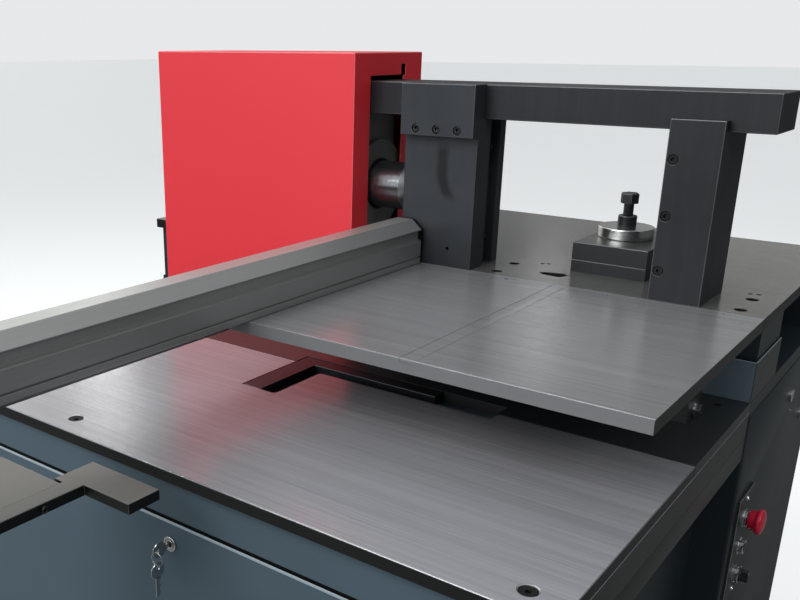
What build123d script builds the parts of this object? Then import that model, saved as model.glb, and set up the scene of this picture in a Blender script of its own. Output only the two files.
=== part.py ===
from build123d import *

import os

# A bending machine for flat copper bars: a horizontal press over a two-level steel table
os.makedirs("parts", exist_ok=True)

# Levels above the floor
foot_height = 80.0
table_z = 850.0
table_t = 16.0
deck_rise = 125.0
deck_t = 18.0

# Table plan: x to the right, y to the back, origin midway over the footprint
right_x = 580.0
table_left_x = -420.0
rear_left_x = -615.0
front_y = -274.0
press_y = 387.0
back_y = 950.0
joint_y = 131.0
plate_front_y = -63.0
plate_left_x = -45.0
seam = 1.0

# Cabinets
front_face_y = front_y + 9.0
rear_cabinet_y = 398.0
band_h = 40.0
header_h = 56.0
recess = 50.0
sheet = 2.0
wall = 3.0
stile_w = 18.0
frame_depth = 40.0
sill_z = 136.0

# Press frame
frame_d = 100.0
rebate = 18.0
tie_h = 53.0
press_gap = 241.0
tie_right_x = 554.0
post_screw_drop = 39.0
post_screw_rise = 44.0
post_x = 421.0
post_w = 73.0
post_lip = 16.0
flange_x = -140.0
flange_t = 40.0
slide_gap = 0.5

# Ram
ram_x = -2.0
ram_w = 133.0
ram_neck = 63.0
holder_d = 96.0
groove_from = 43.0
groove_w = 34.0
groove_depth = 15.0
clamp_h = 81.0
clamp_proud = 18.0
groove_bolt_drop = 47.0
groove_bolt_rise = 50.0
stop_hole_x = 89.0
stop_hole_rise = 30.0

# Cylinder
axis_y = 450.0
axis_drop = 5.5
rod_r = 41.5
run_gap = 0.08
gland_r = 78.0
gland_t = 8.0
gland_in = 18.0
register_r = 50.0
wiper_r = 44.5
wiper_t = 3.0
bore_r = 62.5
barrel_r = 76.0
barrel_l = 350.0
end_wall = 25.0
piston_l = 40.0
piston_back = 300.0
rod_neck_r = 20.0
collar_t = 26.0
collar_end_r = 25.0
port_r = 14.0
port_bore_r = 8.0
port_h = 18.0
port_inset = 60.0

# Red cover
cover_left_x = -554.0
cover_right_x = -86.0
cover_front_y = 355.0
cover_back_y = 568.0
cover_skirt_gap = 2.0
window_rise = 8.0
window_gap = 1.5
cover_head = 38.0
notch_w = 14.0
notch_h = 18.0

# Round die on its block
block_x = 263.0
block_w = 121.0
block_y = 486.0
block_d = 170.0
base_h = 20.0
block_h = 29.0
disc_r = 45.0
disc_h = 18.0
disc_x = 315.0
disc_y = 580.0

# Length gauge over the table
beam_right_x = 42.0
beam_w = 67.0
beam_h = 74.0
beam_bevel = 19.0
beam_drop = 16.0
beam_wall = 4.0
beam_front_y = -950.0
beam_back_gap = 4.0
cap_t = 5.0
rail_w = 15.0
rail_h = 14.0
rail_front_y = -925.0
rail_back_gap = 12.0
carriage_y = -545.0
carriage_l = 70.0
carriage_w = 48.0
carriage_h = 24.0
arm_gap = 3.0
arm_t = 13.0
finger_right_x = 72.0
finger_leg = 25.0
toe_right_x = 145.0
toe_back_y = -334.0
toe_w = 45.0
arm_plate_w = 110.0
arm_plate_front_y = -620.0
arm_plate_gap = 4.0

# Loose bar in the table's angled slot
slot_x = -31.0
slot_w = 63.0
slot_front_y = 1.0
slot_inner_y = 110.0
slot_back_y = 161.0
slot_right_x = 320.0
bar_leg = 34.0
bar_arm = 26.0
bar_right_x = 220.0
bar_gap = 1.0

# Fasteners
m8_r = 4.2
m8_head_r = 6.5
m8_head_h = 8.0
m8_seat_r = 7.5
m8_seat_h = 9.0
m8_key = 6.0
thread_gap = 0.05


def at_x(x):
    """Sketch plane across x, drawn in y and z, facing right."""
    return Plane.YZ.offset(x)


def at_y(y):
    """Sketch plane across y, drawn in x and z, facing the front."""
    return Plane.XZ.offset(-y)


def at_z(z):
    """Level sketch plane, facing up."""
    return Plane.XY.offset(z)


def span(a0, a1, b0, b1, mode=Mode.ADD):
    """Rectangle between two corners of the sketch."""
    with Locations(((a0 + a1) / 2, (b0 + b1) / 2)):
        Rectangle(a1 - a0, b1 - b0, mode=mode)


def screw_seats(plane, points, depth, seat_r=m8_seat_r, seat_h=m8_seat_h, hole_r=m8_r):
    """Counterbored holes cut into the face that the plane lies on."""
    with BuildSketch(plane) as seats:
        with Locations(*points):
            Circle(seat_r)
    extrude(seats.sketch, amount=-seat_h, mode=Mode.SUBTRACT)
    with BuildSketch(plane) as bores:
        with Locations(*points):
            Circle(hole_r + thread_gap)
    extrude(bores.sketch, amount=-depth, mode=Mode.SUBTRACT)


def socket_screws(plane, points, length, seat_h=m8_seat_h):
    """Socket-head screws whose heads stand in the seats of the same plane."""
    with BuildSketch(plane.offset(-seat_h)) as heads:
        with Locations(*points):
            Circle(m8_head_r)
    extrude(heads.sketch, amount=m8_head_h)
    with BuildSketch(plane.offset(-seat_h)) as shanks:
        with Locations(*points):
            Circle(m8_r)
    extrude(shanks.sketch, amount=-length)
    with BuildSketch(plane.offset(m8_head_h - seat_h)) as sockets:
        with Locations(*points):
            RegularPolygon(m8_key / 2, 6, major_radius=False)
    extrude(sockets.sketch, amount=-m8_head_h / 2, mode=Mode.SUBTRACT)


# Worked out once and used by several pieces
table_under = table_z - table_t
deck_z = table_z + deck_rise
deck_under = deck_z - deck_t
body_bottom_z = foot_height
rebate_y = press_y + rebate
frame_back_y = rebate_y + frame_d
tie_z = deck_z + press_gap
tie_top = tie_z + tie_h
axis_z = (deck_z + tie_z) / 2 - axis_drop
window_z = tie_top + window_rise
cover_z = window_z + cover_head
cover_bottom_z = table_z + cover_skirt_gap
header_z = table_under - header_h
inner_left_x = table_left_x + recess
inner_right_x = right_x - recess
side_y0 = front_face_y + frame_depth

# Levelling feet: a pad, a neck and a threaded stem under each corner and midway
foot_pad_r = 40.0
foot_pad_h = 18.0
foot_stem_r = 10.0
foot_inset = 70.0
foot_points = [
    (table_left_x + foot_inset, front_y + foot_inset),
    (right_x - foot_inset, front_y + foot_inset),
    (rear_left_x + foot_inset, rear_cabinet_y + foot_inset),
    (right_x - foot_inset, rear_cabinet_y + foot_inset),
    (rear_left_x + foot_inset, back_y - foot_inset),
    (right_x - foot_inset, back_y - foot_inset),
]
with BuildPart() as levelling_feet:
    for x, y in foot_points:
        with BuildSketch(Plane.XZ.offset(-y)):
            with BuildLine():
                Polyline(
                    (x, 0),
                    (x + foot_pad_r, 0),
                    (x + foot_pad_r / 2, foot_pad_h),
                    (x + foot_stem_r, foot_pad_h),
                    (x + foot_stem_r, foot_height),
                    (x, foot_height),
                    close=True,
                )
            make_face()
        revolve(axis=Axis((x, y, 0), (0, 0, 1)))
levelling_feet.part.label = "levelling_feet"
export_step(levelling_feet.part, "parts/levelling_feet.step")

# Base of the front cabinet: a welded ring of tube with a floor sheet on it
base_tube_w = 40.0
base_tube_h = 50.0
floor_z = body_bottom_z + base_tube_h
with BuildPart() as front_base:
    with BuildSketch(at_z(body_bottom_z)):
        span(inner_left_x, inner_right_x, front_face_y + frame_depth, rear_cabinet_y)
        span(
            inner_left_x + base_tube_w,
            inner_right_x - base_tube_w,
            front_face_y + frame_depth + base_tube_w,
            rear_cabinet_y - base_tube_w,
            mode=Mode.SUBTRACT,
        )
    extrude(amount=floor_z - body_bottom_z)
    with BuildSketch(at_z(floor_z)):
        span(inner_left_x, inner_right_x, front_face_y + frame_depth, rear_cabinet_y)
    extrude(amount=wall)
front_base.part.label = "front_base"
export_step(front_base.part, "parts/front_base.step")

# Side sheets of the front cabinet, set back under the table's edge band
side_z0 = floor_z + wall
side_z1 = table_under - band_h
fold = 20.0
with BuildPart() as side_sheets:
    with BuildSketch(at_z(side_z0)):
        span(inner_left_x, inner_left_x + wall, side_y0, rear_cabinet_y)
        span(inner_left_x, inner_left_x + fold, rear_cabinet_y - wall, rear_cabinet_y)
        span(inner_right_x - wall, inner_right_x, side_y0, rear_cabinet_y)
        span(inner_right_x - fold, inner_right_x, rear_cabinet_y - wall, rear_cabinet_y)
    extrude(amount=side_z1 - side_z0)
side_sheets.part.label = "side_sheets"
export_step(side_sheets.part, "parts/side_sheets.step")

# Face frame round the door: two stiles and a sill, folded to a box section
door_left_x = table_left_x + stile_w + 2.0
door_right_x = right_x - stile_w - 2.0
door_z0 = 146.0
door_z1 = header_z - 2.0
with BuildPart() as face_frame:
    with BuildSketch(at_y(front_face_y + frame_depth)):
        span(table_left_x, right_x, body_bottom_z, header_z)
        span(
            table_left_x + stile_w,
            right_x - stile_w,
            sill_z,
            header_z,
            mode=Mode.SUBTRACT,
        )
    extrude(amount=frame_depth)
    with BuildSketch(at_y(front_face_y + frame_depth)):
        span(
            table_left_x + stile_w + sheet,
            right_x - stile_w - sheet,
            body_bottom_z,
            sill_z - sheet,
        )
    extrude(amount=frame_depth - sheet, mode=Mode.SUBTRACT)
face_frame.part.label = "face_frame"
export_step(face_frame.part, "parts/face_frame.step")

# Table frame: folded edge bands with an inner ledge, under the table plates
ledge = 45.0
slot_ledge = 12.0
with BuildPart() as table_frame:
    with BuildSketch(at_z(table_under - band_h)):
        span(table_left_x, right_x, front_face_y, rear_cabinet_y)
        span(
            table_left_x + ledge,
            right_x - ledge,
            front_face_y + ledge,
            rear_cabinet_y - ledge,
            mode=Mode.SUBTRACT,
        )
        span(table_left_x, right_x, slot_inner_y - slot_ledge, slot_back_y + slot_ledge)
    extrude(amount=band_h)
    with BuildSketch(at_z(table_under - wall)):
        span(
            slot_x - slot_ledge,
            slot_x + slot_w + slot_ledge,
            slot_front_y - slot_ledge,
            slot_back_y,
        )
    extrude(amount=wall)
    with BuildSketch(at_z(header_z)):
        span(table_left_x, right_x, front_face_y, front_face_y + wall)
    extrude(amount=header_h - band_h)
    edges = table_frame.edges().filter_by(Axis.Z).group_by(Axis.X)[-1]
    fillet(edges.filter_by(lambda e: e.length > band_h - 1), 2.0)
table_frame.part.label = "table_frame"
export_step(table_frame.part, "parts/table_frame.step")

# Front table: ground steel plate with the front half of the angled slot
hole_r = 6.0
sink_r = 11.0
corner_inset = 43.0
hole_row_y = front_y + 35.0
plain_hole = (table_left_x + corner_inset, hole_row_y)
screw_holes = [(-118.0, hole_row_y), (right_x - corner_inset, hole_row_y)]
with BuildPart() as front_table:
    with BuildSketch(at_z(table_under)):
        span(table_left_x, right_x, front_y, joint_y)
        span(slot_x, slot_x + slot_w, slot_front_y, joint_y, mode=Mode.SUBTRACT)
        span(slot_x, slot_right_x, slot_inner_y, joint_y, mode=Mode.SUBTRACT)
        with Locations(plain_hole, *screw_holes):
            Circle(hole_r, mode=Mode.SUBTRACT)
    extrude(amount=table_t)
    with BuildSketch(at_z(table_z)):
        with Locations(*screw_holes):
            Circle(sink_r)
    extrude(amount=-(sink_r - hole_r), taper=45, mode=Mode.SUBTRACT)
    slot_corner = front_table.edges().filter_by(Axis.Z).filter_by(
        lambda e: abs(e.center().X - slot_x - slot_w) < 1 and e.center().Y < slot_inner_y + 1
    )
    fillet(slot_corner, 5.0)
    chamfer(front_table.faces().sort_by(Axis.Z)[-1].outer_wire().edges(), 0.8)
front_table.part.label = "front_table"
export_step(front_table.part, "parts/front_table.step")

# Countersunk screws that hold the front table to its frame
sink_depth = 1.5
head_taper = 3.5
with BuildPart() as table_screws:
    with BuildSketch(at_z(table_z - sink_depth)):
        with Locations(*screw_holes):
            Circle(sink_r - 2.0)
    extrude(amount=-head_taper, taper=45)
    with BuildSketch(at_z(table_z - sink_depth - head_taper)):
        with Locations(*screw_holes):
            Circle(hole_r - 1.0)
    extrude(amount=sink_depth + head_taper - table_t)
    with BuildSketch(at_z(table_z - sink_depth)):
        with Locations(*screw_holes):
            RegularPolygon(m8_key / 2, 6, major_radius=False)
    extrude(amount=-head_taper, mode=Mode.SUBTRACT)
table_screws.part.label = "table_screws"
export_step(table_screws.part, "parts/table_screws.step")

# Rear table: painted plate that runs on under the raised plate to the riser
rear_hole_inset = 36.0
rear_hole_y = rear_cabinet_y - corner_inset
rear_holes = [(right_x - rear_hole_inset, rear_hole_y), (table_left_x + rear_hole_inset, rear_hole_y)]
with BuildPart() as rear_table:
    with BuildSketch(at_z(table_under)):
        span(table_left_x, right_x, joint_y + seam, rear_cabinet_y - seam)
        span(slot_x, slot_right_x, joint_y + seam, slot_back_y, mode=Mode.SUBTRACT)
        with Locations(*rear_holes):
            Circle(hole_r, mode=Mode.SUBTRACT)
    extrude(amount=table_t)
rear_table.part.label = "rear_table"
export_step(rear_table.part, "parts/rear_table.step")

# L-shaped steel bar lying in the slot, flush with the table
with BuildPart() as slot_bar:
    with BuildSketch(at_z(table_under)):
        span(slot_x + bar_gap, slot_x + bar_leg, slot_front_y + bar_gap, slot_back_y - bar_gap)
        span(
            slot_x + bar_gap,
            bar_right_x,
            slot_back_y - bar_arm,
            slot_back_y - bar_gap,
        )
    extrude(amount=table_t - 0.5)
    chamfer(slot_bar.faces().sort_by(Axis.Z)[-1].edges(), 0.6)
slot_bar.part.label = "slot_bar"
export_step(slot_bar.part, "parts/slot_bar.step")

# Raised plate, flush with the deck, with a groove for its centre strip
strip_x0 = 279.0
strip_w = 22.0
strip_t = 6.0
strip_gap = 0.2
edge_break = 0.8
plate_back_y = press_y - seam
plate_pin = (206.0, 15.0)
plate_pin_r = 4.0
plate_holes_x = [216.0, 367.0, 530.0]
plate_hole_r = 2.5
plate_hole_inset = 9.0
with BuildPart() as raised_plate:
    with BuildSketch(at_z(deck_under)):
        span(plate_left_x, right_x, plate_front_y, plate_back_y)
    extrude(amount=deck_t)
    with BuildSketch(at_z(deck_z)):
        span(
            strip_x0 - strip_gap,
            strip_x0 + strip_w + strip_gap,
            plate_front_y,
            plate_back_y,
        )
    extrude(amount=-strip_t, mode=Mode.SUBTRACT)
    with Locations(*[(x, plate_back_y - plate_hole_inset, deck_z) for x in plate_holes_x]):
        Hole(plate_hole_r)
    with Locations((plate_pin[0], plate_back_y - plate_pin[1], deck_z)):
        Hole(plate_pin_r)
    front_edges = raised_plate.faces().sort_by(Axis.Y)[0].edges().filter_by(Axis.X)
    chamfer(front_edges.group_by(Axis.Z)[-1], edge_break)
raised_plate.part.label = "raised_plate"
export_step(raised_plate.part, "parts/raised_plate.step")

with BuildPart() as centre_strip:
    with BuildSketch(at_z(deck_z - strip_t)):
        span(strip_x0, strip_x0 + strip_w, plate_front_y, plate_back_y)
    extrude(amount=strip_t)
    strip_edges = centre_strip.faces().sort_by(Axis.Y)[0].edges().filter_by(Axis.X)
    chamfer(strip_edges.group_by(Axis.Z)[-1], edge_break)
centre_strip.part.label = "centre_strip"
export_step(centre_strip.part, "parts/centre_strip.step")

# Blocks that carry the raised plate on the rear table, each with a side bolt
support_w = 37.0
support_d = 60.0
support_y = 256.0
support_x = [495.0, 60.0]
bolt_y = support_y + support_d / 2
bolt_z = table_z + 15.0
bolt_r = 5.0
bolt_af = 16.0
bolt_head_h = 6.5
washer_r = 14.0
washer_t = 3.0
with BuildPart() as plate_supports:
    with BuildSketch(at_z(table_z)):
        for x in support_x:
            span(x, x + support_w, support_y, support_y + support_d)
    extrude(amount=deck_under - table_z)
    for x in support_x:
        with BuildSketch(at_x(x + support_w)):
            with Locations((bolt_y, bolt_z)):
                Circle(bolt_r)
        extrude(amount=-support_w / 2, mode=Mode.SUBTRACT)
plate_supports.part.label = "plate_supports"
export_step(plate_supports.part, "parts/plate_supports.step")

with BuildPart() as support_bolts:
    for x in support_x:
        with BuildSketch(at_x(x + support_w)):
            with Locations((bolt_y, bolt_z)):
                Circle(washer_r)
        extrude(amount=washer_t)
        with BuildSketch(at_x(x + support_w + washer_t)):
            with Locations((bolt_y, bolt_z)):
                RegularPolygon(bolt_af / 2, 6, major_radius=False)
        extrude(amount=bolt_head_h)
        with BuildSketch(at_x(x + support_w)):
            with Locations((bolt_y, bolt_z)):
                Circle(bolt_r - thread_gap)
        extrude(amount=1.0 - support_w / 2)
support_bolts.part.label = "support_bolts"
export_step(support_bolts.part, "parts/support_bolts.step")

# Rear cabinet: folded shell, open below, that carries the press
with BuildPart() as rear_cabinet:
    with BuildSketch(at_z(body_bottom_z)):
        span(rear_left_x, right_x, rear_cabinet_y, back_y)
    extrude(amount=table_z - body_bottom_z)
    shell_faces = rear_cabinet.faces().sort_by(Axis.Z)[0]
    offset(amount=-wall, openings=shell_faces)
    for y in (rear_cabinet_y + foot_inset, back_y - foot_inset):
        with BuildSketch(at_z(body_bottom_z)):
            span(rear_left_x + wall, right_x - wall, y - base_tube_w, y + base_tube_w)
        extrude(amount=base_tube_w)
rear_cabinet.part.label = "rear_cabinet"
export_step(rear_cabinet.part, "parts/rear_cabinet.step")

# Riser beams: two closed box girders that lift the deck off the rear cabinet
riser_inset = 3.0
riser_front_d = 138.0
riser_rear_d = 105.0
riser_wall = 8.0
riser_h = deck_under - table_z
riser_l = right_x - rear_left_x - 2 * riser_inset
riser_spans = [
    (rear_cabinet_y + riser_inset, rear_cabinet_y + riser_front_d),
    (back_y - riser_rear_d, back_y - riser_inset),
]
with BuildPart() as riser_beams:
    with BuildSketch(at_x(rear_left_x + riser_inset)):
        for y0, y1 in riser_spans:
            span(y0, y1, table_z, deck_under)
    extrude(amount=riser_l)
    with BuildSketch(at_x(rear_left_x + riser_inset + sheet)):
        for y0, y1 in riser_spans:
            span(
                y0 + riser_wall,
                y1 - riser_wall,
                table_z + riser_wall,
                deck_under - riser_wall,
            )
    extrude(amount=riser_l - 2 * sheet, mode=Mode.SUBTRACT)
riser_beams.part.label = "riser_beams"
export_step(riser_beams.part, "parts/riser_beams.step")

# Apron: one folded sheet with a front wall and a right wall round the riser
apron_h = 60.0
apron_y = press_y + 3.0
apron_back_y = 540.0
apron_left_x = cover_right_x + 6.0
with BuildPart() as apron:
    with BuildSketch(at_z(table_z)):
        with BuildLine():
            Polyline(
                (apron_left_x, apron_y + sheet / 2),
                (right_x - sheet / 2, apron_y + sheet / 2),
                (right_x - sheet / 2, apron_back_y),
            )
            offset(amount=sheet / 2, side=Side.BOTH)
        make_face()
    extrude(amount=apron_h)
apron.part.label = "apron"
export_step(apron.part, "parts/apron.step")

# Deck: thick plate that carries the press, with its screw holes and a hexagon window
deck_hole_r = 9.0
deck_holes = [(168.0, 478.0), (169.0, 410.0), (543.0, 413.0), (542.0, 482.0)]
deck_pin_r = 3.8
deck_pins = [(206.0, 507.0), (215.0, 511.5), (532.0, 515.0), (543.0, 517.5)]
hexagon = [(227, 444), (239, 435), (267, 433), (275, 452), (263, 461), (235, 454)]
with BuildPart() as deck:
    with BuildSketch(at_z(deck_under)):
        span(rear_left_x, right_x, press_y, back_y)
        with Locations(*deck_holes):
            Circle(deck_hole_r, mode=Mode.SUBTRACT)
        with Locations(*deck_pins):
            Circle(deck_pin_r, mode=Mode.SUBTRACT)
        with BuildLine():
            Polyline(*hexagon, close=True)
        make_face(mode=Mode.SUBTRACT)
    extrude(amount=deck_t)
deck.part.label = "deck"
export_step(deck.part, "parts/deck.step")

# Cylinder flange: upright plate at the left that closes the press frame
with BuildPart() as cylinder_flange:
    with BuildSketch(at_x(flange_x)):
        span(rebate_y, frame_back_y, deck_z, tie_z)
        with Locations((axis_y, axis_z)):
            Circle(register_r, mode=Mode.SUBTRACT)
    extrude(amount=flange_t)
cylinder_flange.part.label = "cylinder_flange"
export_step(cylinder_flange.part, "parts/cylinder_flange.step")

# Die post: upright at the right, with a lip that stops the tie beam
post_screws_x = post_x + 10.0
post_screw_low = deck_z + post_screw_rise
post_screw_high = tie_z - post_screw_drop
post_screws_z = [post_screw_high, (post_screw_low + post_screw_high) / 2, post_screw_low]
post_points = [(post_screws_x, z) for z in post_screws_z]
post_holes_depth = 44.0
with BuildPart() as die_post:
    with BuildSketch(at_x(post_x)):
        with BuildLine():
            Polyline(
                (press_y, deck_z),
                (frame_back_y, deck_z),
                (frame_back_y, tie_z),
                (rebate_y, tie_z),
                (rebate_y, tie_z + post_lip),
                (press_y, tie_z + post_lip),
                close=True,
            )
        make_face()
    extrude(amount=post_w)
    screw_seats(at_y(press_y), post_points, post_holes_depth)
    chamfer(die_post.faces().sort_by(Axis.Y)[0].outer_wire().edges(), 0.8)
die_post.part.label = "die_post"
export_step(die_post.part, "parts/die_post.step")

with BuildPart() as post_screws:
    socket_screws(at_y(press_y), post_points, post_holes_depth - m8_seat_h - 2.0)
post_screws.part.label = "post_screws"
export_step(post_screws.part, "parts/post_screws.step")

# Tie beam: one solid bar from the cylinder flange to past the die post
with BuildPart() as tie_beam:
    with BuildSketch(at_x(flange_x)):
        span(rebate_y, frame_back_y, tie_z, tie_top)
    extrude(amount=tie_right_x - flange_x)
    chamfer(tie_beam.edges(), 1.2)
tie_beam.part.label = "tie_beam"
export_step(tie_beam.part, "parts/tie_beam.step")

# Ram: a block with a tool holder to the right and a rebate for its guide clamp
clamp_bottom = tie_top - clamp_h
ram_back_y = frame_back_y + slide_gap
ram_bottom = deck_z + slide_gap
ram_top = tie_z - slide_gap
clamp_back_y = rebate_y - slide_gap
groove_y0 = press_y + groove_from
groove_y1 = groove_y0 + groove_w
ram_right_x = ram_x + ram_w
groove_bolt_y = (groove_y0 + groove_y1) / 2
groove_points = [
    (groove_bolt_y, tie_z - groove_bolt_drop),
    (groove_bolt_y, deck_z + groove_bolt_rise),
]
clamp_pitch = 38.0
clamp_screw_rise = 11.0
screw_bite = 18.0
stop_hole_r = 3.3
stop_hole_l = 20.0
clamp_points = [
    (ram_x + ram_w / 2 + k * clamp_pitch, clamp_bottom + clamp_screw_rise) for k in (-1, 0, 1)
]
with BuildPart() as ram:
    with BuildSketch(at_z(ram_bottom)):
        with BuildLine():
            Polyline(
                (ram_x, press_y),
                (ram_right_x, press_y),
                (ram_right_x, groove_y0),
                (ram_right_x - groove_depth, groove_y0),
                (ram_right_x - groove_depth, groove_y1),
                (ram_right_x, groove_y1),
                (ram_right_x, press_y + holder_d),
                (ram_x + ram_neck, press_y + holder_d),
                (ram_x + ram_neck, ram_back_y),
                (ram_x, ram_back_y),
                close=True,
            )
        make_face()
    extrude(amount=ram_top - ram_bottom)
    with BuildSketch(at_y(clamp_back_y)):
        span(ram_x, ram_right_x, clamp_bottom - thread_gap, ram_top)
    extrude(amount=clamp_back_y - press_y, mode=Mode.SUBTRACT)
    with BuildSketch(at_y(press_y)):
        with Locations((ram_x + stop_hole_x, deck_z + stop_hole_rise)):
            Circle(stop_hole_r)
    extrude(amount=-stop_hole_l, mode=Mode.SUBTRACT)
    with BuildSketch(at_y(clamp_back_y)):
        with Locations(*clamp_points):
            Circle(m8_r + thread_gap)
    extrude(amount=-screw_bite - 2.0, mode=Mode.SUBTRACT)
    with BuildSketch(at_x(ram_right_x - groove_depth)):
        with Locations(*groove_points):
            Circle(m8_r + thread_gap)
    extrude(amount=-screw_bite - 2.0, mode=Mode.SUBTRACT)
ram.part.label = "ram"
export_step(ram.part, "parts/ram.step")

# Guide clamp: block on the ram's front that laps over the tie beam
clamp_front_y = press_y - clamp_proud
clamp_t = clamp_back_y - clamp_front_y
with BuildPart() as guide_clamp:
    with BuildSketch(at_y(clamp_back_y)):
        span(ram_x, ram_right_x, clamp_bottom, tie_top)
    extrude(amount=clamp_t)
    screw_seats(at_y(clamp_front_y), clamp_points, clamp_t)
    chamfer(guide_clamp.faces().sort_by(Axis.Y)[0].outer_wire().edges(), 0.8)
guide_clamp.part.label = "guide_clamp"
export_step(guide_clamp.part, "parts/guide_clamp.step")

with BuildPart() as ram_screws:
    socket_screws(at_y(clamp_front_y), clamp_points, clamp_t - m8_seat_h + screw_bite)
    socket_screws(at_x(ram_right_x - groove_depth), groove_points, screw_bite, seat_h=0.0)
ram_screws.part.label = "ram_screws"
export_step(ram_screws.part, "parts/ram_screws.step")

# Piston rod with its piston and the neck that it is drawn to the ram by, one turned piece
flange_face_x = flange_x + flange_t
piston_x = flange_face_x - piston_back
rod_end_x = ram_x - collar_t
with BuildPart() as piston_rod:
    with BuildSketch(at_y(axis_y)):
        with BuildLine():
            Polyline(
                (piston_x, axis_z),
                (piston_x, axis_z + bore_r - run_gap),
                (piston_x + piston_l, axis_z + bore_r - run_gap),
                (piston_x + piston_l, axis_z + rod_r),
                (rod_end_x, axis_z + rod_r),
                (rod_end_x, axis_z + rod_neck_r),
                (ram_x, axis_z + rod_neck_r),
                (ram_x, axis_z),
                close=True,
            )
        make_face()
    revolve(axis=Axis((0, axis_y, axis_z), (1, 0, 0)))
piston_rod.part.label = "piston_rod"
export_step(piston_rod.part, "parts/piston_rod.step")

# Tapered collar on the rod's neck, between its shoulder and the ram
with BuildPart() as rod_collar:
    with BuildSketch(at_y(axis_y)):
        with BuildLine():
            Polyline(
                (rod_end_x, axis_z + rod_neck_r + thread_gap),
                (rod_end_x, axis_z + rod_r - thread_gap),
                (ram_x, axis_z + collar_end_r),
                (ram_x, axis_z + rod_neck_r + thread_gap),
                close=True,
            )
        make_face()
    revolve(axis=Axis((0, axis_y, axis_z), (1, 0, 0)))
rod_collar.part.label = "rod_collar"
export_step(rod_collar.part, "parts/rod_collar.step")

# Gland: round cover let into the flange, with a wiper lip where the rod leaves the cylinder
with BuildPart() as gland:
    with BuildSketch(at_y(axis_y)):
        with BuildLine():
            Polyline(
                (flange_face_x - gland_in, axis_z + rod_r + run_gap),
                (flange_face_x - gland_in, axis_z + register_r - thread_gap),
                (flange_face_x, axis_z + register_r - thread_gap),
                (flange_face_x, axis_z + gland_r),
                (flange_face_x + gland_t, axis_z + gland_r),
                (flange_face_x + gland_t, axis_z + wiper_r),
                (flange_face_x + gland_t + wiper_t, axis_z + wiper_r),
                (flange_face_x + gland_t + wiper_t, axis_z + rod_r + run_gap),
                close=True,
            )
        make_face()
    revolve(axis=Axis((0, axis_y, axis_z), (1, 0, 0)))
gland.part.label = "gland"
export_step(gland.part, "parts/gland.step")

# Cylinder barrel with its rear cap, bolted behind the flange
barrel_x = flange_x - barrel_l
with BuildPart() as cylinder_barrel:
    with BuildSketch(at_y(axis_y)):
        with BuildLine():
            Polyline(
                (barrel_x, axis_z),
                (barrel_x, axis_z + barrel_r),
                (flange_x, axis_z + barrel_r),
                (flange_x, axis_z + bore_r),
                (barrel_x + end_wall, axis_z + bore_r),
                (barrel_x + end_wall, axis_z),
                close=True,
            )
        make_face()
    revolve(axis=Axis((0, axis_y, axis_z), (1, 0, 0)))
    for x in (barrel_x + port_inset, flange_x - port_inset):
        with BuildSketch(at_z((axis_z + bore_r + axis_z + barrel_r) / 2)):
            with Locations((x, axis_y)):
                Circle(port_r)
        extrude(amount=(barrel_r - bore_r) / 2 + port_h)
        with BuildSketch(at_z(axis_z + barrel_r + port_h)):
            with Locations((x, axis_y)):
                Circle(port_bore_r)
        extrude(amount=-port_h * 2 / 3, mode=Mode.SUBTRACT)
cylinder_barrel.part.label = "cylinder_barrel"
export_step(cylinder_barrel.part, "parts/cylinder_barrel.step")

# Red cover: sheet hood over the cylinder, with a window for the beam and the rod
window_y0 = rebate_y - window_gap
window_y1 = frame_back_y + window_gap
cover_edge = 1.2
with BuildPart() as cylinder_cover:
    with BuildSketch(at_z(deck_z)):
        span(cover_left_x, cover_right_x, cover_front_y, cover_back_y)
    extrude(amount=cover_z - deck_z)
    bottom = cylinder_cover.faces().sort_by(Axis.Z)[0]
    offset(amount=-sheet, openings=bottom)
    with BuildSketch(at_y(cover_front_y + sheet)):
        span(cover_left_x, cover_right_x, cover_bottom_z, deck_z)
    extrude(amount=sheet)
    with BuildSketch(at_x(cover_right_x)):
        span(window_y0, window_y1, deck_z, window_z)
        span(window_y1 - notch_w / 2, window_y1 + notch_w / 2, window_z - 1.0, window_z + notch_h)
    extrude(amount=-2 * sheet, mode=Mode.SUBTRACT)
    outer_top = cylinder_cover.faces().sort_by(Axis.Z)[-1].outer_wire().edges()
    chamfer(outer_top, cover_edge)
cylinder_cover.part.label = "cylinder_cover"
export_step(cylinder_cover.part, "parts/cylinder_cover.step")

# Die block: two plates screwed to the deck under the round die
block_right_x = block_x + block_w
block_back_y = block_y + block_d
base_z = deck_z + base_h
block_z = base_z + block_h
stud_r = 8.0
with BuildPart() as die_base:
    with BuildSketch(at_z(deck_z)):
        span(block_x, block_right_x, block_y, block_back_y)
    extrude(amount=base_h)
    chamfer(die_base.faces().sort_by(Axis.Z)[-1].edges(), 0.6)
die_base.part.label = "die_base"
export_step(die_base.part, "parts/die_base.step")

with BuildPart() as die_block:
    with BuildSketch(at_z(base_z)):
        span(block_x, block_right_x, block_y, block_back_y)
        with Locations((disc_x, disc_y)):
            Circle(stud_r + thread_gap, mode=Mode.SUBTRACT)
    extrude(amount=block_h)
    top_edges = die_block.faces().sort_by(Axis.Z)[-1].outer_wire().edges()
    chamfer(top_edges, 0.8)
die_block.part.label = "die_block"
export_step(die_block.part, "parts/die_block.step")

# Round die: turned steel disc
with BuildPart() as round_die:
    with BuildSketch(at_z(block_z)):
        with Locations((disc_x, disc_y)):
            Circle(disc_r)
            Circle(stud_r + thread_gap, mode=Mode.SUBTRACT)
    extrude(amount=disc_h)
    rim = round_die.edges().filter_by(GeomType.CIRCLE).filter_by(lambda e: e.radius > stud_r + 1)
    chamfer(rim, 1.2)
round_die.part.label = "round_die"
export_step(round_die.part, "parts/round_die.step")

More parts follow.
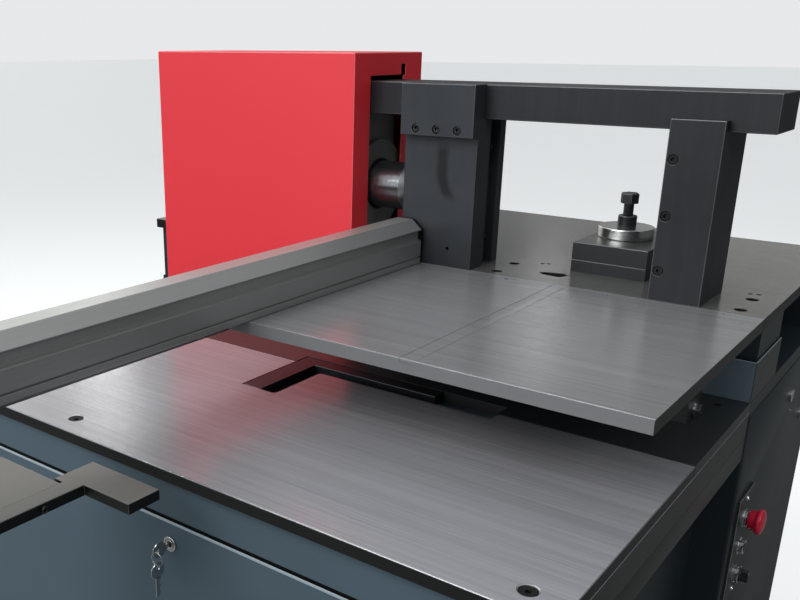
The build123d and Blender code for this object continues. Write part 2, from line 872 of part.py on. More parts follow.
# Clamp stud: a round sleeve on the die and a hexagon-headed stud through both
sleeve_r = 15.0
sleeve_h = 18.0
neck_h = 20.0
head_af = 26.0
head_h = 17.0
disc_top = block_z + disc_h
with BuildPart() as clamp_sleeve:
    with BuildSketch(at_z(disc_top)):
        with Locations((disc_x, disc_y)):
            Circle(sleeve_r)
            Circle(stud_r + thread_gap, mode=Mode.SUBTRACT)
    extrude(amount=sleeve_h)
    sleeve_rim = clamp_sleeve.faces().sort_by(Axis.Z)[-1].outer_wire().edges()
    chamfer(sleeve_rim, 1.0)
clamp_sleeve.part.label = "clamp_sleeve"
export_step(clamp_sleeve.part, "parts/clamp_sleeve.step")

neck_z = disc_top + sleeve_h
with BuildPart() as clamp_stud:
    with BuildSketch(at_z(base_z)):
        with Locations((disc_x, disc_y)):
            Circle(stud_r)
    extrude(amount=neck_z + neck_h - base_z)
    with BuildSketch(at_z(neck_z + neck_h)):
        with Locations((disc_x, disc_y)):
            RegularPolygon(head_af / 2, 6, major_radius=False)
    extrude(amount=head_h)
    head_top = clamp_stud.faces().sort_by(Axis.Z)[-1].edges()
    chamfer(head_top, 1.5)
clamp_stud.part.label = "clamp_stud"
export_step(clamp_stud.part, "parts/clamp_stud.step")

# Gauge beam: one hollow aluminium extrusion with a shoulder band in each side
beam_left_x = beam_right_x - beam_w
beam_z = deck_z
beam_top = beam_z + beam_h
beam_back_y = press_y - beam_back_gap
lip_h = 10.5
slit_h = 2.0
slit_in = 3.0
web_h = 26.0
band_in = 6.0
edge_cut = 1.5
beam_mid_x = (beam_left_x + beam_right_x) / 2
side_top = beam_top - beam_drop
slit_z = beam_z + lip_h
web_z = slit_z + slit_h + web_h
with BuildPart() as gauge_beam:
    with BuildSketch(at_y(beam_back_y - cap_t)):
        with BuildLine():
            Polyline(
                (beam_mid_x, beam_z),
                (beam_right_x - edge_cut, beam_z),
                (beam_right_x, beam_z + edge_cut),
                (beam_right_x, slit_z),
                (beam_right_x - slit_in, slit_z),
                (beam_right_x - slit_in, slit_z + slit_h),
                (beam_right_x, slit_z + slit_h),
                (beam_right_x, web_z),
                (beam_right_x - band_in, web_z + band_in / 2),
                (beam_right_x - band_in, side_top - edge_cut),
                (beam_right_x, side_top - edge_cut),
                (beam_right_x, side_top),
                (beam_right_x - beam_bevel, beam_top),
                (beam_mid_x, beam_top),
                close=True,
            )
        make_face()
        mirror(about=Plane.YZ.offset(beam_mid_x))
        span(
            beam_left_x + band_in + beam_wall,
            beam_right_x - band_in - beam_wall,
            beam_z + lip_h,
            side_top - beam_wall,
            mode=Mode.SUBTRACT,
        )
    extrude(amount=beam_back_y - beam_front_y - 2 * cap_t)
gauge_beam.part.label = "gauge_beam"
export_step(gauge_beam.part, "parts/gauge_beam.step")

# End caps of the beam
with BuildPart() as beam_caps:
    for y in (beam_back_y, beam_front_y + cap_t):
        with BuildSketch(at_y(y)):
            with BuildLine():
                Polyline(
                    (beam_left_x, beam_z),
                    (beam_right_x, beam_z),
                    (beam_right_x, side_top),
                    (beam_right_x - beam_bevel, beam_top),
                    (beam_left_x + beam_bevel, beam_top),
                    (beam_left_x, side_top),
                    close=True,
                )
            make_face()
        extrude(amount=cap_t)
    fillet(beam_caps.edges().filter_by(Axis.Y), 2.0)
beam_caps.part.label = "beam_caps"
export_step(beam_caps.part, "parts/beam_caps.step")

# Guide rail under the beam's overhang
rail_z = beam_z - rail_h
rail_back_y = plate_front_y - rail_back_gap
waist = 3.0
with BuildPart() as gauge_rail:
    with BuildSketch(at_y(rail_back_y)):
        with BuildLine():
            Polyline(
                (beam_mid_x, rail_z),
                (beam_mid_x + rail_w / 2, rail_z),
                (beam_mid_x + rail_w / 2, rail_z + 4.0),
                (beam_mid_x + rail_w / 2 - waist, rail_z + 7.0),
                (beam_mid_x + rail_w / 2, rail_z + 10.0),
                (beam_mid_x + rail_w / 2, beam_z),
                (beam_mid_x, beam_z),
                close=True,
            )
        make_face()
        mirror(about=Plane.YZ.offset(beam_mid_x))
    extrude(amount=rail_back_y - rail_front_y)
gauge_rail.part.label = "gauge_rail"
export_step(gauge_rail.part, "parts/gauge_rail.step")

# Carriage: block on the rail with the hanger that carries the gauge arm
slide_clear = 0.4
carriage_top = beam_z - 3.0
carriage_bottom = carriage_top - carriage_h
arm_z = table_z + arm_gap
arm_top = arm_z + arm_t
hanger_w = 14.0
with BuildPart() as gauge_carriage:
    with BuildSketch(at_y(carriage_y + carriage_l / 2)):
        with BuildLine():
            Polyline(
                (beam_mid_x, carriage_bottom),
                (beam_mid_x + carriage_w / 2, carriage_bottom),
                (beam_mid_x + carriage_w / 2, carriage_top),
                (beam_mid_x + rail_w / 2 + slide_clear, carriage_top),
                (beam_mid_x + rail_w / 2 + slide_clear, rail_z + 10.0),
                (beam_mid_x + rail_w / 2 - waist + slide_clear, rail_z + 7.0),
                (beam_mid_x + rail_w / 2 + slide_clear, rail_z + 4.0),
                (beam_mid_x + rail_w / 2 + slide_clear, rail_z - slide_clear),
                (beam_mid_x, rail_z - slide_clear),
                close=True,
            )
        make_face()
        mirror(about=Plane.YZ.offset(beam_mid_x))
    extrude(amount=carriage_l)
    fillet(gauge_carriage.edges().filter_by(Axis.Y).group_by(Axis.Z)[0], 2.0)
gauge_carriage.part.label = "gauge_carriage"
export_step(gauge_carriage.part, "parts/gauge_carriage.step")

# Hanger: plate with a flange at each end, bolted under the carriage and on the arm
flange_h = 10.0
with BuildPart() as gauge_hanger:
    with BuildSketch(at_y(carriage_y + carriage_l / 2)):
        span(
            beam_mid_x - carriage_w / 2,
            beam_mid_x + carriage_w / 2,
            arm_top,
            carriage_bottom,
        )
        for side_x0 in (beam_mid_x - carriage_w / 2, beam_mid_x + hanger_w / 2):
            span(
                side_x0,
                side_x0 + (carriage_w - hanger_w) / 2,
                arm_top + flange_h,
                carriage_bottom - flange_h,
                mode=Mode.SUBTRACT,
            )
    extrude(amount=carriage_l)
gauge_hanger.part.label = "gauge_hanger"
export_step(gauge_hanger.part, "parts/gauge_hanger.step")

# Gauge arm plate, and the L-shaped stop finger let into its right edge
finger_left_x = finger_right_x - finger_leg
notch_x = finger_left_x - 14.0
plate_back_edge_y = toe_back_y - toe_w - 14.0
with BuildPart() as gauge_arm:
    with BuildSketch(at_z(arm_z)):
        span(
            finger_left_x - arm_plate_w,
            finger_left_x,
            arm_plate_front_y,
            plate_back_edge_y,
        )
    extrude(amount=arm_t)
    chamfer(gauge_arm.faces().sort_by(Axis.Z)[-1].edges(), 0.6)
gauge_arm.part.label = "gauge_arm"
export_step(gauge_arm.part, "parts/gauge_arm.step")

finger_bolt_y = [-435.0, -560.0]
finger_bolt_z = arm_z + arm_t / 2
with BuildPart() as stop_finger:
    with BuildSketch(at_z(arm_z)):
        with BuildLine():
            Polyline(
                (finger_left_x, arm_plate_front_y),
                (finger_right_x, arm_plate_front_y),
                (finger_right_x, toe_back_y - toe_w),
                (toe_right_x, toe_back_y - toe_w),
                (toe_right_x, toe_back_y),
                (notch_x, toe_back_y),
                (notch_x, plate_back_edge_y + arm_plate_gap),
                (finger_left_x, plate_back_edge_y + arm_plate_gap),
                close=True,
            )
        make_face()
    extrude(amount=arm_t)
    chamfer(stop_finger.faces().sort_by(Axis.Z)[-1].edges(), 0.6)
    with BuildSketch(at_x(finger_right_x)):
        with Locations(*[(y, finger_bolt_z) for y in finger_bolt_y]):
            Circle(2.6)
    extrude(amount=-finger_leg, mode=Mode.SUBTRACT)
stop_finger.part.label = "stop_finger"
export_step(stop_finger.part, "parts/stop_finger.step")

with BuildPart() as finger_bolts:
    with BuildSketch(at_x(finger_right_x)):
        with Locations(*[(y, finger_bolt_z) for y in finger_bolt_y]):
            Circle(4.25)
            RegularPolygon(2.0, 6, major_radius=False, mode=Mode.SUBTRACT)
    extrude(amount=5.0)
    with BuildSketch(at_x(finger_right_x)):
        with Locations(*[(y, finger_bolt_z) for y in finger_bolt_y]):
            Circle(2.5)
    extrude(amount=-finger_leg + 1.0)
finger_bolts.part.label = "finger_bolts"
export_step(finger_bolts.part, "parts/finger_bolts.step")

# Front door: folded pan, hinged along its lower edge
door_depth = 20.0
lock_x = 85.0
lock_z = 744.0
lock_r = 8.0
with BuildPart() as front_door:
    with BuildSketch(at_y(front_face_y + door_depth)):
        span(door_left_x, door_right_x, door_z0, door_z1)
    extrude(amount=door_depth)
    inner = front_door.faces().sort_by(Axis.Y)[-1]
    offset(amount=-sheet, openings=inner)
    with BuildSketch(at_y(front_face_y + door_depth)):
        with Locations((lock_x, lock_z)):
            Circle(lock_r + thread_gap)
    extrude(amount=door_depth, mode=Mode.SUBTRACT)
front_door.part.label = "front_door"
export_step(front_door.part, "parts/front_door.step")

# Hinges of the door: three knuckles on a pin, in front of the sill
hinge_y = front_face_y - 6.0
hinge_z = 141.0
knuckle_r = 4.5
pin_r = 2.5
pin_gap = 0.08
leaf_t = 2.0
leaf_h = 26.0
leaf_gap = knuckle_r + 1.0
leaf_rise = knuckle_r + 3.0
hinge_web_h = 4.0
hinge_l = 90.0
hinge_xs = [door_left_x + 160.0, door_right_x - 160.0]
third = hinge_l / 3
knuckle_gap = 0.3
with BuildPart() as hinge_frame_leaves:
    for x in hinge_xs:
        with BuildSketch(at_y(front_face_y)):
            span(x - hinge_l / 2, x + hinge_l / 2, hinge_z - knuckle_r - leaf_h, hinge_z - leaf_gap)
        extrude(amount=leaf_t)
        for x0 in (x - hinge_l / 2, x + hinge_l / 2 - third + knuckle_gap):
            with BuildSketch(at_x(x0)):
                with Locations((hinge_y, hinge_z)):
                    Circle(knuckle_r)
                span(hinge_y, front_face_y, hinge_z - knuckle_r - hinge_web_h, hinge_z - knuckle_r + 2.0)
                with Locations((hinge_y, hinge_z)):
                    Circle(pin_r + pin_gap, mode=Mode.SUBTRACT)
            extrude(amount=third - knuckle_gap)
hinge_frame_leaves.part.label = "hinge_frame_leaves"
export_step(hinge_frame_leaves.part, "parts/hinge_frame_leaves.step")

with BuildPart() as hinge_door_leaves:
    for x in hinge_xs:
        with BuildSketch(at_y(front_face_y)):
            span(x - hinge_l / 2, x + hinge_l / 2, hinge_z + leaf_rise, hinge_z + knuckle_r + leaf_h)
        extrude(amount=leaf_t)
        with BuildSketch(at_x(x - third / 2 + knuckle_gap)):
            with Locations((hinge_y, hinge_z)):
                Circle(knuckle_r)
            span(hinge_y, front_face_y, hinge_z + knuckle_r - 2.0, hinge_z + knuckle_r + hinge_web_h)
            with Locations((hinge_y, hinge_z)):
                Circle(pin_r + pin_gap, mode=Mode.SUBTRACT)
        extrude(amount=third - 2 * knuckle_gap)
hinge_door_leaves.part.label = "hinge_door_leaves"
export_step(hinge_door_leaves.part, "parts/hinge_door_leaves.step")

with BuildPart() as hinge_pins:
    for x in hinge_xs:
        with BuildSketch(at_x(x - hinge_l / 2)):
            with Locations((hinge_y, hinge_z)):
                Circle(pin_r)
        extrude(amount=hinge_l)
hinge_pins.part.label = "hinge_pins"
export_step(hinge_pins.part, "parts/hinge_pins.step")

# Cam lock: turned housing through the door, plug with its key, and the cam behind
plug_r = 5.5
bezel_r = 10.0
bezel_t = 3.0
lock_back_y = front_face_y + 22.0
with BuildPart() as lock_housing:
    with BuildSketch(at_y(lock_back_y)):
        with Locations((lock_x, lock_z)):
            Circle(lock_r)
            Circle(plug_r + pin_gap, mode=Mode.SUBTRACT)
    extrude(amount=lock_back_y - front_face_y)
    with BuildSketch(at_y(front_face_y)):
        with Locations((lock_x, lock_z)):
            Circle(bezel_r)
            Circle(plug_r + pin_gap, mode=Mode.SUBTRACT)
    extrude(amount=bezel_t)
lock_housing.part.label = "lock_housing"
export_step(lock_housing.part, "parts/lock_housing.step")

cam_l = 42.0
cam_t = 2.5
with BuildPart() as lock_plug:
    with BuildSketch(at_y(lock_back_y + cam_t)):
        with Locations((lock_x, lock_z)):
            Circle(plug_r)
    extrude(amount=lock_back_y + cam_t - front_face_y + bezel_t)
    with BuildSketch(at_y(lock_back_y + pin_gap + cam_t)):
        span(lock_x - 8.0, lock_x + cam_l, lock_z - 8.0, lock_z + 8.0)
    extrude(amount=cam_t)
lock_plug.part.label = "lock_plug"
export_step(lock_plug.part, "parts/lock_plug.step")

# Keys: one in the plug, and a spare that hangs from its bow on a split ring
key_y = front_face_y - bezel_t
key_t = 1.8
key_shoulder = 6.0
bow_r = 11.0
bow_hole_r = 3.0
bow_hole_off = 4.4
blade_w = 7.0
blade_l = 26.0
ring_r = 9.0
ring_t = 1.2
ring_w = 1.6
hang_gap = 0.3
bow_y = key_y - key_shoulder - bow_r
hole_y = bow_y - bow_hole_off
ring_z = lock_z - bow_hole_r + hang_gap + ring_t / 2 - ring_r
spare_hole_z = ring_z - ring_r + ring_t / 2 + hang_gap - bow_hole_r
spare_bow_z = spare_hole_z - bow_hole_off
with BuildPart() as door_key:
    with BuildSketch(at_x(lock_x - key_t / 2)):
        with Locations((bow_y, lock_z)):
            Circle(bow_r)
        span(bow_y, key_y, lock_z - blade_w / 2, lock_z + blade_w / 2)
        with Locations((hole_y, lock_z)):
            Circle(bow_hole_r, mode=Mode.SUBTRACT)
    extrude(amount=key_t)
door_key.part.label = "door_key"
export_step(door_key.part, "parts/door_key.step")

with BuildPart() as key_ring:
    with BuildSketch(at_y(hole_y + ring_w / 2)):
        with Locations((lock_x, ring_z)):
            Circle(ring_r + ring_t / 2)
            Circle(ring_r - ring_t / 2, mode=Mode.SUBTRACT)
    extrude(amount=ring_w)
key_ring.part.label = "key_ring"
export_step(key_ring.part, "parts/key_ring.step")

with BuildPart() as spare_key:
    with BuildSketch(at_x(lock_x - key_t / 2)):
        with Locations((hole_y, spare_bow_z)):
            Circle(bow_r)
        span(
            hole_y - blade_w / 2,
            hole_y + blade_w / 2,
            spare_bow_z - bow_r - blade_l,
            spare_bow_z,
        )
        with Locations((hole_y, spare_hole_z)):
            Circle(bow_hole_r, mode=Mode.SUBTRACT)
    extrude(amount=key_t)
spare_key.part.label = "spare_key"
export_step(spare_key.part, "parts/spare_key.step")

# Oil tank with the pump motor on its lid, behind the door
tank_x0 = inner_left_x + 60.0
tank_l = 400.0
tank_y0 = -160.0
tank_d = 400.0
tank_h = 280.0
tank_lid_t = 8.0
tank_lid_lip = 10.0
tank_corner_r = 20.0
tank_z0 = floor_z + wall
tank_top = tank_z0 + tank_h
tank_centre = (tank_x0 + tank_l / 2, tank_y0 + tank_d / 2)
with BuildPart() as oil_tank:
    with BuildSketch(at_z(tank_z0)):
        with Locations(tank_centre):
            RectangleRounded(tank_l, tank_d, tank_corner_r)
    extrude(amount=tank_h - tank_lid_t)
    with BuildSketch(at_z(tank_top - tank_lid_t)):
        with Locations(tank_centre):
            RectangleRounded(
                tank_l + 2 * tank_lid_lip,
                tank_d + 2 * tank_lid_lip,
                tank_corner_r + tank_lid_lip,
            )
    extrude(amount=tank_lid_t)
    with BuildSketch(at_z(tank_z0 + wall)):
        with Locations(tank_centre):
            RectangleRounded(tank_l - 2 * wall, tank_d - 2 * wall, tank_corner_r - wall)
    extrude(amount=tank_h - tank_lid_t - wall, mode=Mode.SUBTRACT)
oil_tank.part.label = "oil_tank"
export_step(oil_tank.part, "parts/oil_tank.step")

# Pump motor: finned aluminium body with a fan cowl, standing on the tank's lid
motor_r = 82.0
motor_l = 210.0
motor_core_r = 70.0
motor_foot_h = 18.0
cowl_h = 52.0
cowl_edge = 8.0
fin_count = 16
fin_t = 4.0
motor_x = tank_centre[0]
motor_y = tank_centre[1]
with BuildPart() as pump_motor:
    with BuildSketch(at_z(tank_top)):
        with Locations((motor_x, motor_y)):
            Circle(motor_r)
    extrude(amount=motor_foot_h)
    with BuildSketch(at_z(tank_top + motor_foot_h)):
        with Locations((motor_x, motor_y)):
            Circle(motor_core_r)
            with PolarLocations((motor_core_r + motor_r) / 2 - fin_t, fin_count):
                Rectangle(motor_r - motor_core_r + fin_t, fin_t)
    extrude(amount=motor_l - motor_foot_h - cowl_h)
    with BuildSketch(at_z(tank_top + motor_l - cowl_h)):
        with Locations((motor_x, motor_y)):
            Circle(motor_r)
    extrude(amount=cowl_h)
    chamfer(pump_motor.faces().sort_by(Axis.Z)[-1].edges(), cowl_edge)
pump_motor.part.label = "pump_motor"
export_step(pump_motor.part, "parts/pump_motor.step")

# Valve block beside the motor, with three coils
valve_x = motor_x + 130.0
valve_w = 60.0
valve_d = 160.0
valve_h = 90.0
coil_r = 18.0
coil_l = 26.0
coil_pitch = 50.0
with BuildPart() as valve_block:
    with BuildSketch(at_z(tank_top)):
        with Locations((valve_x, motor_y)):
            Rectangle(valve_w, valve_d)
    extrude(amount=valve_h)
    for k in (-1, 0, 1):
        with BuildSketch(at_x(valve_x + valve_w / 2)):
            with Locations((motor_y + coil_pitch * k, tank_top + valve_h / 2)):
                Circle(coil_r)
        extrude(amount=coil_l)
valve_block.part.label = "valve_block"
export_step(valve_block.part, "parts/valve_block.step")

# Button plate on the right side, with its stop button, start button and selector
plate_w = 86.0
button_plate_y = 426.0
button_plate_t = 5.0
button_plate_z0 = 500.0
button_plate_z1 = 680.0
button_y = button_plate_y + plate_w / 2
button_pitch = 49.0
stop_z = 636.0
start_z = stop_z - button_pitch
selector_z = start_z - button_pitch
hole_button_r = 11.0
face_x = right_x + button_plate_t
button_zs = [stop_z, start_z, selector_z]
with BuildPart() as button_plate:
    with BuildSketch(at_x(right_x)):
        span(button_plate_y, button_plate_y + plate_w, button_plate_z0, button_plate_z1)
        with Locations(*[(button_y, z) for z in button_zs]):
            Circle(hole_button_r + 0.2, mode=Mode.SUBTRACT)
    extrude(amount=button_plate_t)
    fillet(button_plate.edges().filter_by(Axis.X), 1.0)
button_plate.part.label = "button_plate"
export_step(button_plate.part, "parts/button_plate.step")

ring_button_r = 14.5
ring_button_t = 5.0
plunger_r = 8.0
with BuildPart() as button_rings:
    with BuildSketch(at_x(right_x + 0.5)):
        with Locations(*[(button_y, z) for z in button_zs]):
            Circle(hole_button_r)
            Circle(plunger_r + pin_gap, mode=Mode.SUBTRACT)
    extrude(amount=button_plate_t - 0.5)
    with BuildSketch(at_x(face_x)):
        with Locations(*[(button_y, z) for z in button_zs]):
            Circle(ring_button_r)
            Circle(plunger_r + pin_gap, mode=Mode.SUBTRACT)
    extrude(amount=ring_button_t)
button_rings.part.label = "button_rings"
export_step(button_rings.part, "parts/button_rings.step")

# Stop button: stepped mushroom head on a plunger
stop_r = 20.0
stop_neck_r = 15.5
stop_neck_l = 8.0
stop_rim = 9.0
stop_face_r = 16.0
stop_face_h = 2.0
stop_travel = 5.0
mushroom_x = face_x + ring_button_t + stop_travel + 1.0
rim_x = mushroom_x + stop_neck_l
rim_end_x = rim_x + stop_rim
tip_x = rim_end_x + stop_face_h
with BuildPart() as stop_button:
    with BuildSketch(at_y(button_y)):
        with BuildLine():
            Polyline(
                (tip_x, stop_z),
                (right_x + stop_travel + 1.0, stop_z),
                (right_x + stop_travel + 1.0, stop_z + plunger_r),
                (mushroom_x, stop_z + plunger_r),
                (mushroom_x, stop_z + stop_neck_r),
                (rim_x, stop_z + stop_neck_r),
                (rim_x, stop_z + stop_r),
                (rim_end_x, stop_z + stop_r),
                (tip_x, stop_z + stop_face_r),
                close=True,
            )
        make_face()
    revolve(axis=Axis((0, button_y, stop_z), (1, 0, 0)))
stop_button.part.label = "stop_button"
export_step(stop_button.part, "parts/stop_button.step")

# Start button: flat cap that travels inside its ring
start_travel = 4.0
start_tip_x = face_x + ring_button_t + start_travel
with BuildPart() as start_button:
    with BuildSketch(at_x(right_x + start_travel + 1.0)):
        with Locations((button_y, start_z)):
            Circle(plunger_r)
    extrude(amount=start_tip_x - right_x - start_travel - 1.0)
    chamfer(start_button.faces().sort_by(Axis.X)[-1].edges(), 1.0)
start_button.part.label = "start_button"
export_step(start_button.part, "parts/start_button.step")

# Selector: round stem with a raised handle across it
knob_r = 11.5
knob_t = 6.0
knob_gap = 0.4
handle_h = 10.0
with BuildPart() as selector_knob:
    with BuildSketch(at_x(right_x + 1.0)):
        with Locations((button_y, selector_z)):
            Circle(plunger_r)
    extrude(amount=face_x + ring_button_t + knob_gap - right_x - 1.0)
    knob_x = face_x + ring_button_t + knob_gap
    with BuildSketch(at_x(knob_x)):
        with Locations((button_y, selector_z)):
            Circle(knob_r)
    extrude(amount=knob_t)
    with BuildSketch(at_x(knob_x + knob_t)):
        with Locations((button_y, selector_z)):
            SlotOverall(2 * knob_r - 2.0, 7.0, rotation=90)
    extrude(amount=handle_h)
selector_knob.part.label = "selector_knob"
export_step(selector_knob.part, "parts/selector_knob.step")

# Quarter-turn fasteners of the right-hand access panel
latch_r = 11.0
latch_points = [(715.0, 763.0), (851.0, 687.0)]
with BuildPart() as panel_latches:
    with BuildSketch(at_x(right_x)):
        with Locations(*latch_points):
            Circle(latch_r)
    extrude(amount=4.0)
    with BuildSketch(at_x(right_x + 4.0)):
        with Locations(*latch_points):
            Rectangle(3.0, 16.0)
    extrude(amount=-2.0, mode=Mode.SUBTRACT)
panel_latches.part.label = "panel_latches"
export_step(panel_latches.part, "parts/panel_latches.step")
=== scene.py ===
"""The bar bending machine dressed: finishes, small fittings, light and camera on the CAD frame."""

import math

import bmesh
import bpy
from mathutils import Matrix, Vector


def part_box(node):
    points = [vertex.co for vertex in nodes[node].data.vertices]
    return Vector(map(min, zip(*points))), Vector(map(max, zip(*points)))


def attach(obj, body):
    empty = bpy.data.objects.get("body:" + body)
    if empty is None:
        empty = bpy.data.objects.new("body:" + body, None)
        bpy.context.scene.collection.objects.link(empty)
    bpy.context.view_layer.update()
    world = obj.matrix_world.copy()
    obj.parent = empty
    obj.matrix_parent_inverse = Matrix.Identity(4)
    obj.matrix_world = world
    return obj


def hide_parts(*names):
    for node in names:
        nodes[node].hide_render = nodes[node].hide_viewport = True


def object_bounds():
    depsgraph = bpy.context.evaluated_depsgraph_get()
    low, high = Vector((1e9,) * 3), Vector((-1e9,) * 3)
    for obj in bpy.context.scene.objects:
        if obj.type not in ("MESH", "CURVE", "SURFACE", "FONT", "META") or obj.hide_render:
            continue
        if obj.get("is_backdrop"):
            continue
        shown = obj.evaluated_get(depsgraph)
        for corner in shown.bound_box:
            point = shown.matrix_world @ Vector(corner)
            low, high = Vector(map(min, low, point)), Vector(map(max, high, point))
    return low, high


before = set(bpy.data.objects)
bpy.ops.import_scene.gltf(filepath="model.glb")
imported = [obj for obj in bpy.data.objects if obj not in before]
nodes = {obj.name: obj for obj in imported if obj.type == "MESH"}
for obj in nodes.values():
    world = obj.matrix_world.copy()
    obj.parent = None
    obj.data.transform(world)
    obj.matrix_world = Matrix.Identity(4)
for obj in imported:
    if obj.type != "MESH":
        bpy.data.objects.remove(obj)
cad_low, cad_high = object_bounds()

# Camera: where the photographer stood, at the right front corner of the table.
# The picture is a crop of a wider one, so the lens is shifted off its centre.
photo_width, photo_height = 800, 600
focal_px = 910.1
axis_px = (290.0, 358.2)
eye = Vector((0.820, -0.945, 1.330))
turn_left = math.radians(38.76)
look_down = math.radians(19.11)

camera_data = bpy.data.cameras.new("camera")
camera_data.sensor_width = 36.0
camera_data.lens = focal_px * camera_data.sensor_width / photo_width
camera_data.shift_x = (photo_width / 2 - axis_px[0]) / photo_width
camera_data.shift_y = (axis_px[1] - photo_height / 2) / photo_width
camera_data.clip_start = 0.02
camera = bpy.data.objects.new("camera", camera_data)
camera.location = eye
camera.rotation_euler = (math.pi / 2 - look_down, 0.0, turn_left)
bpy.context.collection.objects.link(camera)
bpy.context.scene.camera = camera
bpy.context.scene.view_settings.view_transform = "Standard"


# Studio: a pale floor and a pale surround. What the steel mirrors is graded like the
# workshop: tall windows behind on the left, a grey ceiling, and little from the right.
hard_line = 0.0002


class Signal:
    """One output of a shading node, which Python's operators join by Math nodes."""

    def __init__(self, wiring, socket):
        self.wiring = wiring
        self.socket = socket

    def maths(self, *terms, clamp=False):
        return self.wiring.maths(*terms, clamp=clamp)

    def __add__(self, other):
        return self.maths("ADD", self, other)

    def __radd__(self, other):
        return self.maths("ADD", other, self)

    def __sub__(self, other):
        return self.maths("SUBTRACT", self, other)

    def __rsub__(self, other):
        return self.maths("SUBTRACT", other, self)

    def __mul__(self, other):
        return self.maths("MULTIPLY", self, other)

    def __rmul__(self, other):
        return self.maths("MULTIPLY", other, self)

    def __truediv__(self, other):
        return self.maths("DIVIDE", self, other)

    def __pow__(self, other):
        return self.maths("POWER", self, other)

    def size(self):
        return self.maths("ABSOLUTE", self)

    def above(self, level, width=hard_line):
        """0 below the level, 1 above it, with a step of that width."""
        return self.maths("DIVIDE", self - (level - width / 2), width, clamp=True)

    def below(self, level, width=hard_line):
        return 1.0 - self.above(level, width)

    def near(self, level, width):
        """1 at the level, falling to 0 at half the width to either side."""
        return self.maths("SUBTRACT", 1.0, (self - level).size() / (width / 2), clamp=True)


class Wiring:
    """A node tree that is written as expressions on its signals."""

    def __init__(self, tree, spot="Object"):
        self.tree = tree
        self.spot = spot
        self.place = None

    def node(self, kind, settings=None, inputs=None, output=0):
        made = self.tree.nodes.new(kind)
        for key, value in (settings or {}).items():
            setattr(made, key, value)
        for key, value in (inputs or {}).items():
            if isinstance(value, Signal):
                self.tree.links.new(value.socket, made.inputs[key])
            else:
                made.inputs[key].default_value = value
        return Signal(self, made.outputs[output])

    def maths(self, operation, first, second=0.0, clamp=False):
        settings = {"operation": operation, "use_clamp": clamp}
        return self.node("ShaderNodeMath", settings, {0: first, 1: second})

    def position(self):
        """The point's place in the machine's own frame, in metres."""
        if self.place is None:
            self.place = self.node("ShaderNodeTexCoord", output=self.spot)
        return self.place

    def along(self, axis):
        return self.node("ShaderNodeSeparateXYZ", inputs={0: self.position()}, output=axis)

    def reach(self, first, second, centre):
        """The distance from a line through the centre, measured across two axes."""
        over = self.along(first) - getattr(centre, first.lower())
        up = self.along(second) - getattr(centre, second.lower())
        return self.maths("SQRT", over * over + up * up)

    def blend(self, amount, first, second):
        """A colour between two colours."""
        made = self.node("ShaderNodeMix", {"data_type": "RGBA"}, output=2)
        mix = made.socket.node
        for key, value in ((0, amount), (6, first), (7, second)):
            if isinstance(value, Signal):
                self.tree.links.new(value.socket, mix.inputs[key])
            else:
                mix.inputs[key].default_value = (*value, 1.0)
        return made


class Finish(Wiring):
    """A procedural finish: a material, its Principled shader and the nodes that feed it."""

    def __init__(self, name, **constants):
        self.material = bpy.data.materials.new(name)
        self.material.use_nodes = True
        super().__init__(self.material.node_tree)
        self.shader = self.tree.nodes["Principled BSDF"]
        for socket, value in constants.items():
            title = socket.replace("_", " ").title().replace("Ior", "IOR")
            self.shader.inputs[title].default_value = value

    def noise(self, scale, detail=3.0, roughness=0.55, where=None):
        spot = where or self.position()
        sockets = {"Vector": spot, "Scale": scale, "Detail": detail, "Roughness": roughness}
        return self.node("ShaderNodeTexNoise", {}, sockets)

    def grain(self, scale, detail=3.0, roughness=0.55):
        """Noise scaled differently along the three axes, for brushing and tool marks."""
        spot = self.node("ShaderNodeMapping", inputs={"Vector": self.position(), "Scale": scale})
        return self.noise(1.0, detail, roughness, where=spot)

    def bump(self, height, depth, strength=1.0):
        """A height, in metres at its white, turned into a normal."""
        sockets = {"Height": height, "Distance": depth, "Strength": strength}
        return self.node("ShaderNodeBump", {}, sockets)

    def feed(self, **signals):
        for socket, signal in signals.items():
            title = socket.replace("_", " ").title()
            self.tree.links.new(signal.socket, self.shader.inputs[title])

    def onto(self, *targets):
        """Gives this finish to CAD nodes, by name, or to new pieces."""
        for target in targets:
            piece = nodes[target] if isinstance(target, str) else target
            piece.data.materials.clear()
            piece.data.materials.append(self.material)


floor_size = 60.0
floor_mesh = bmesh.new()
bmesh.ops.create_grid(floor_mesh, x_segments=1, y_segments=1, size=floor_size)
floor_data = bpy.data.meshes.new("floor")
floor_mesh.to_mesh(floor_data)
floor_mesh.free()
floor = bpy.data.objects.new("floor", floor_data)
bpy.context.collection.objects.link(floor)
floor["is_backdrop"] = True
floor_finish = Finish("floor_finish", roughness=0.7, emission_strength=1.0)
floor_cloud = floor_finish.noise(0.8, 4.0)
floor_seen = floor_finish.node("ShaderNodeLightPath", output="Is Camera Ray")
floor_pale = floor_finish.blend(floor_cloud, (0.74, 0.74, 0.73), (0.80, 0.80, 0.79))
floor_finish.feed(
    base_color=floor_finish.blend(floor_seen, (0.16, 0.16, 0.155), floor_pale),
    emission_color=floor_finish.blend(floor_seen, (0.0, 0.0, 0.0), (0.36, 0.365, 0.37)),
)
floor_finish.onto(floor)

pale = (0.80, 0.81, 0.82)
ceiling_grey = (0.42, 0.44, 0.46)
hall_grey = (0.20, 0.205, 0.21)
window_white = (0.72, 0.73, 0.69)
window_bright = (1.30, 1.32, 1.25)
right_dark = (0.030, 0.034, 0.036)
front_grey = (0.62, 0.66, 0.70)

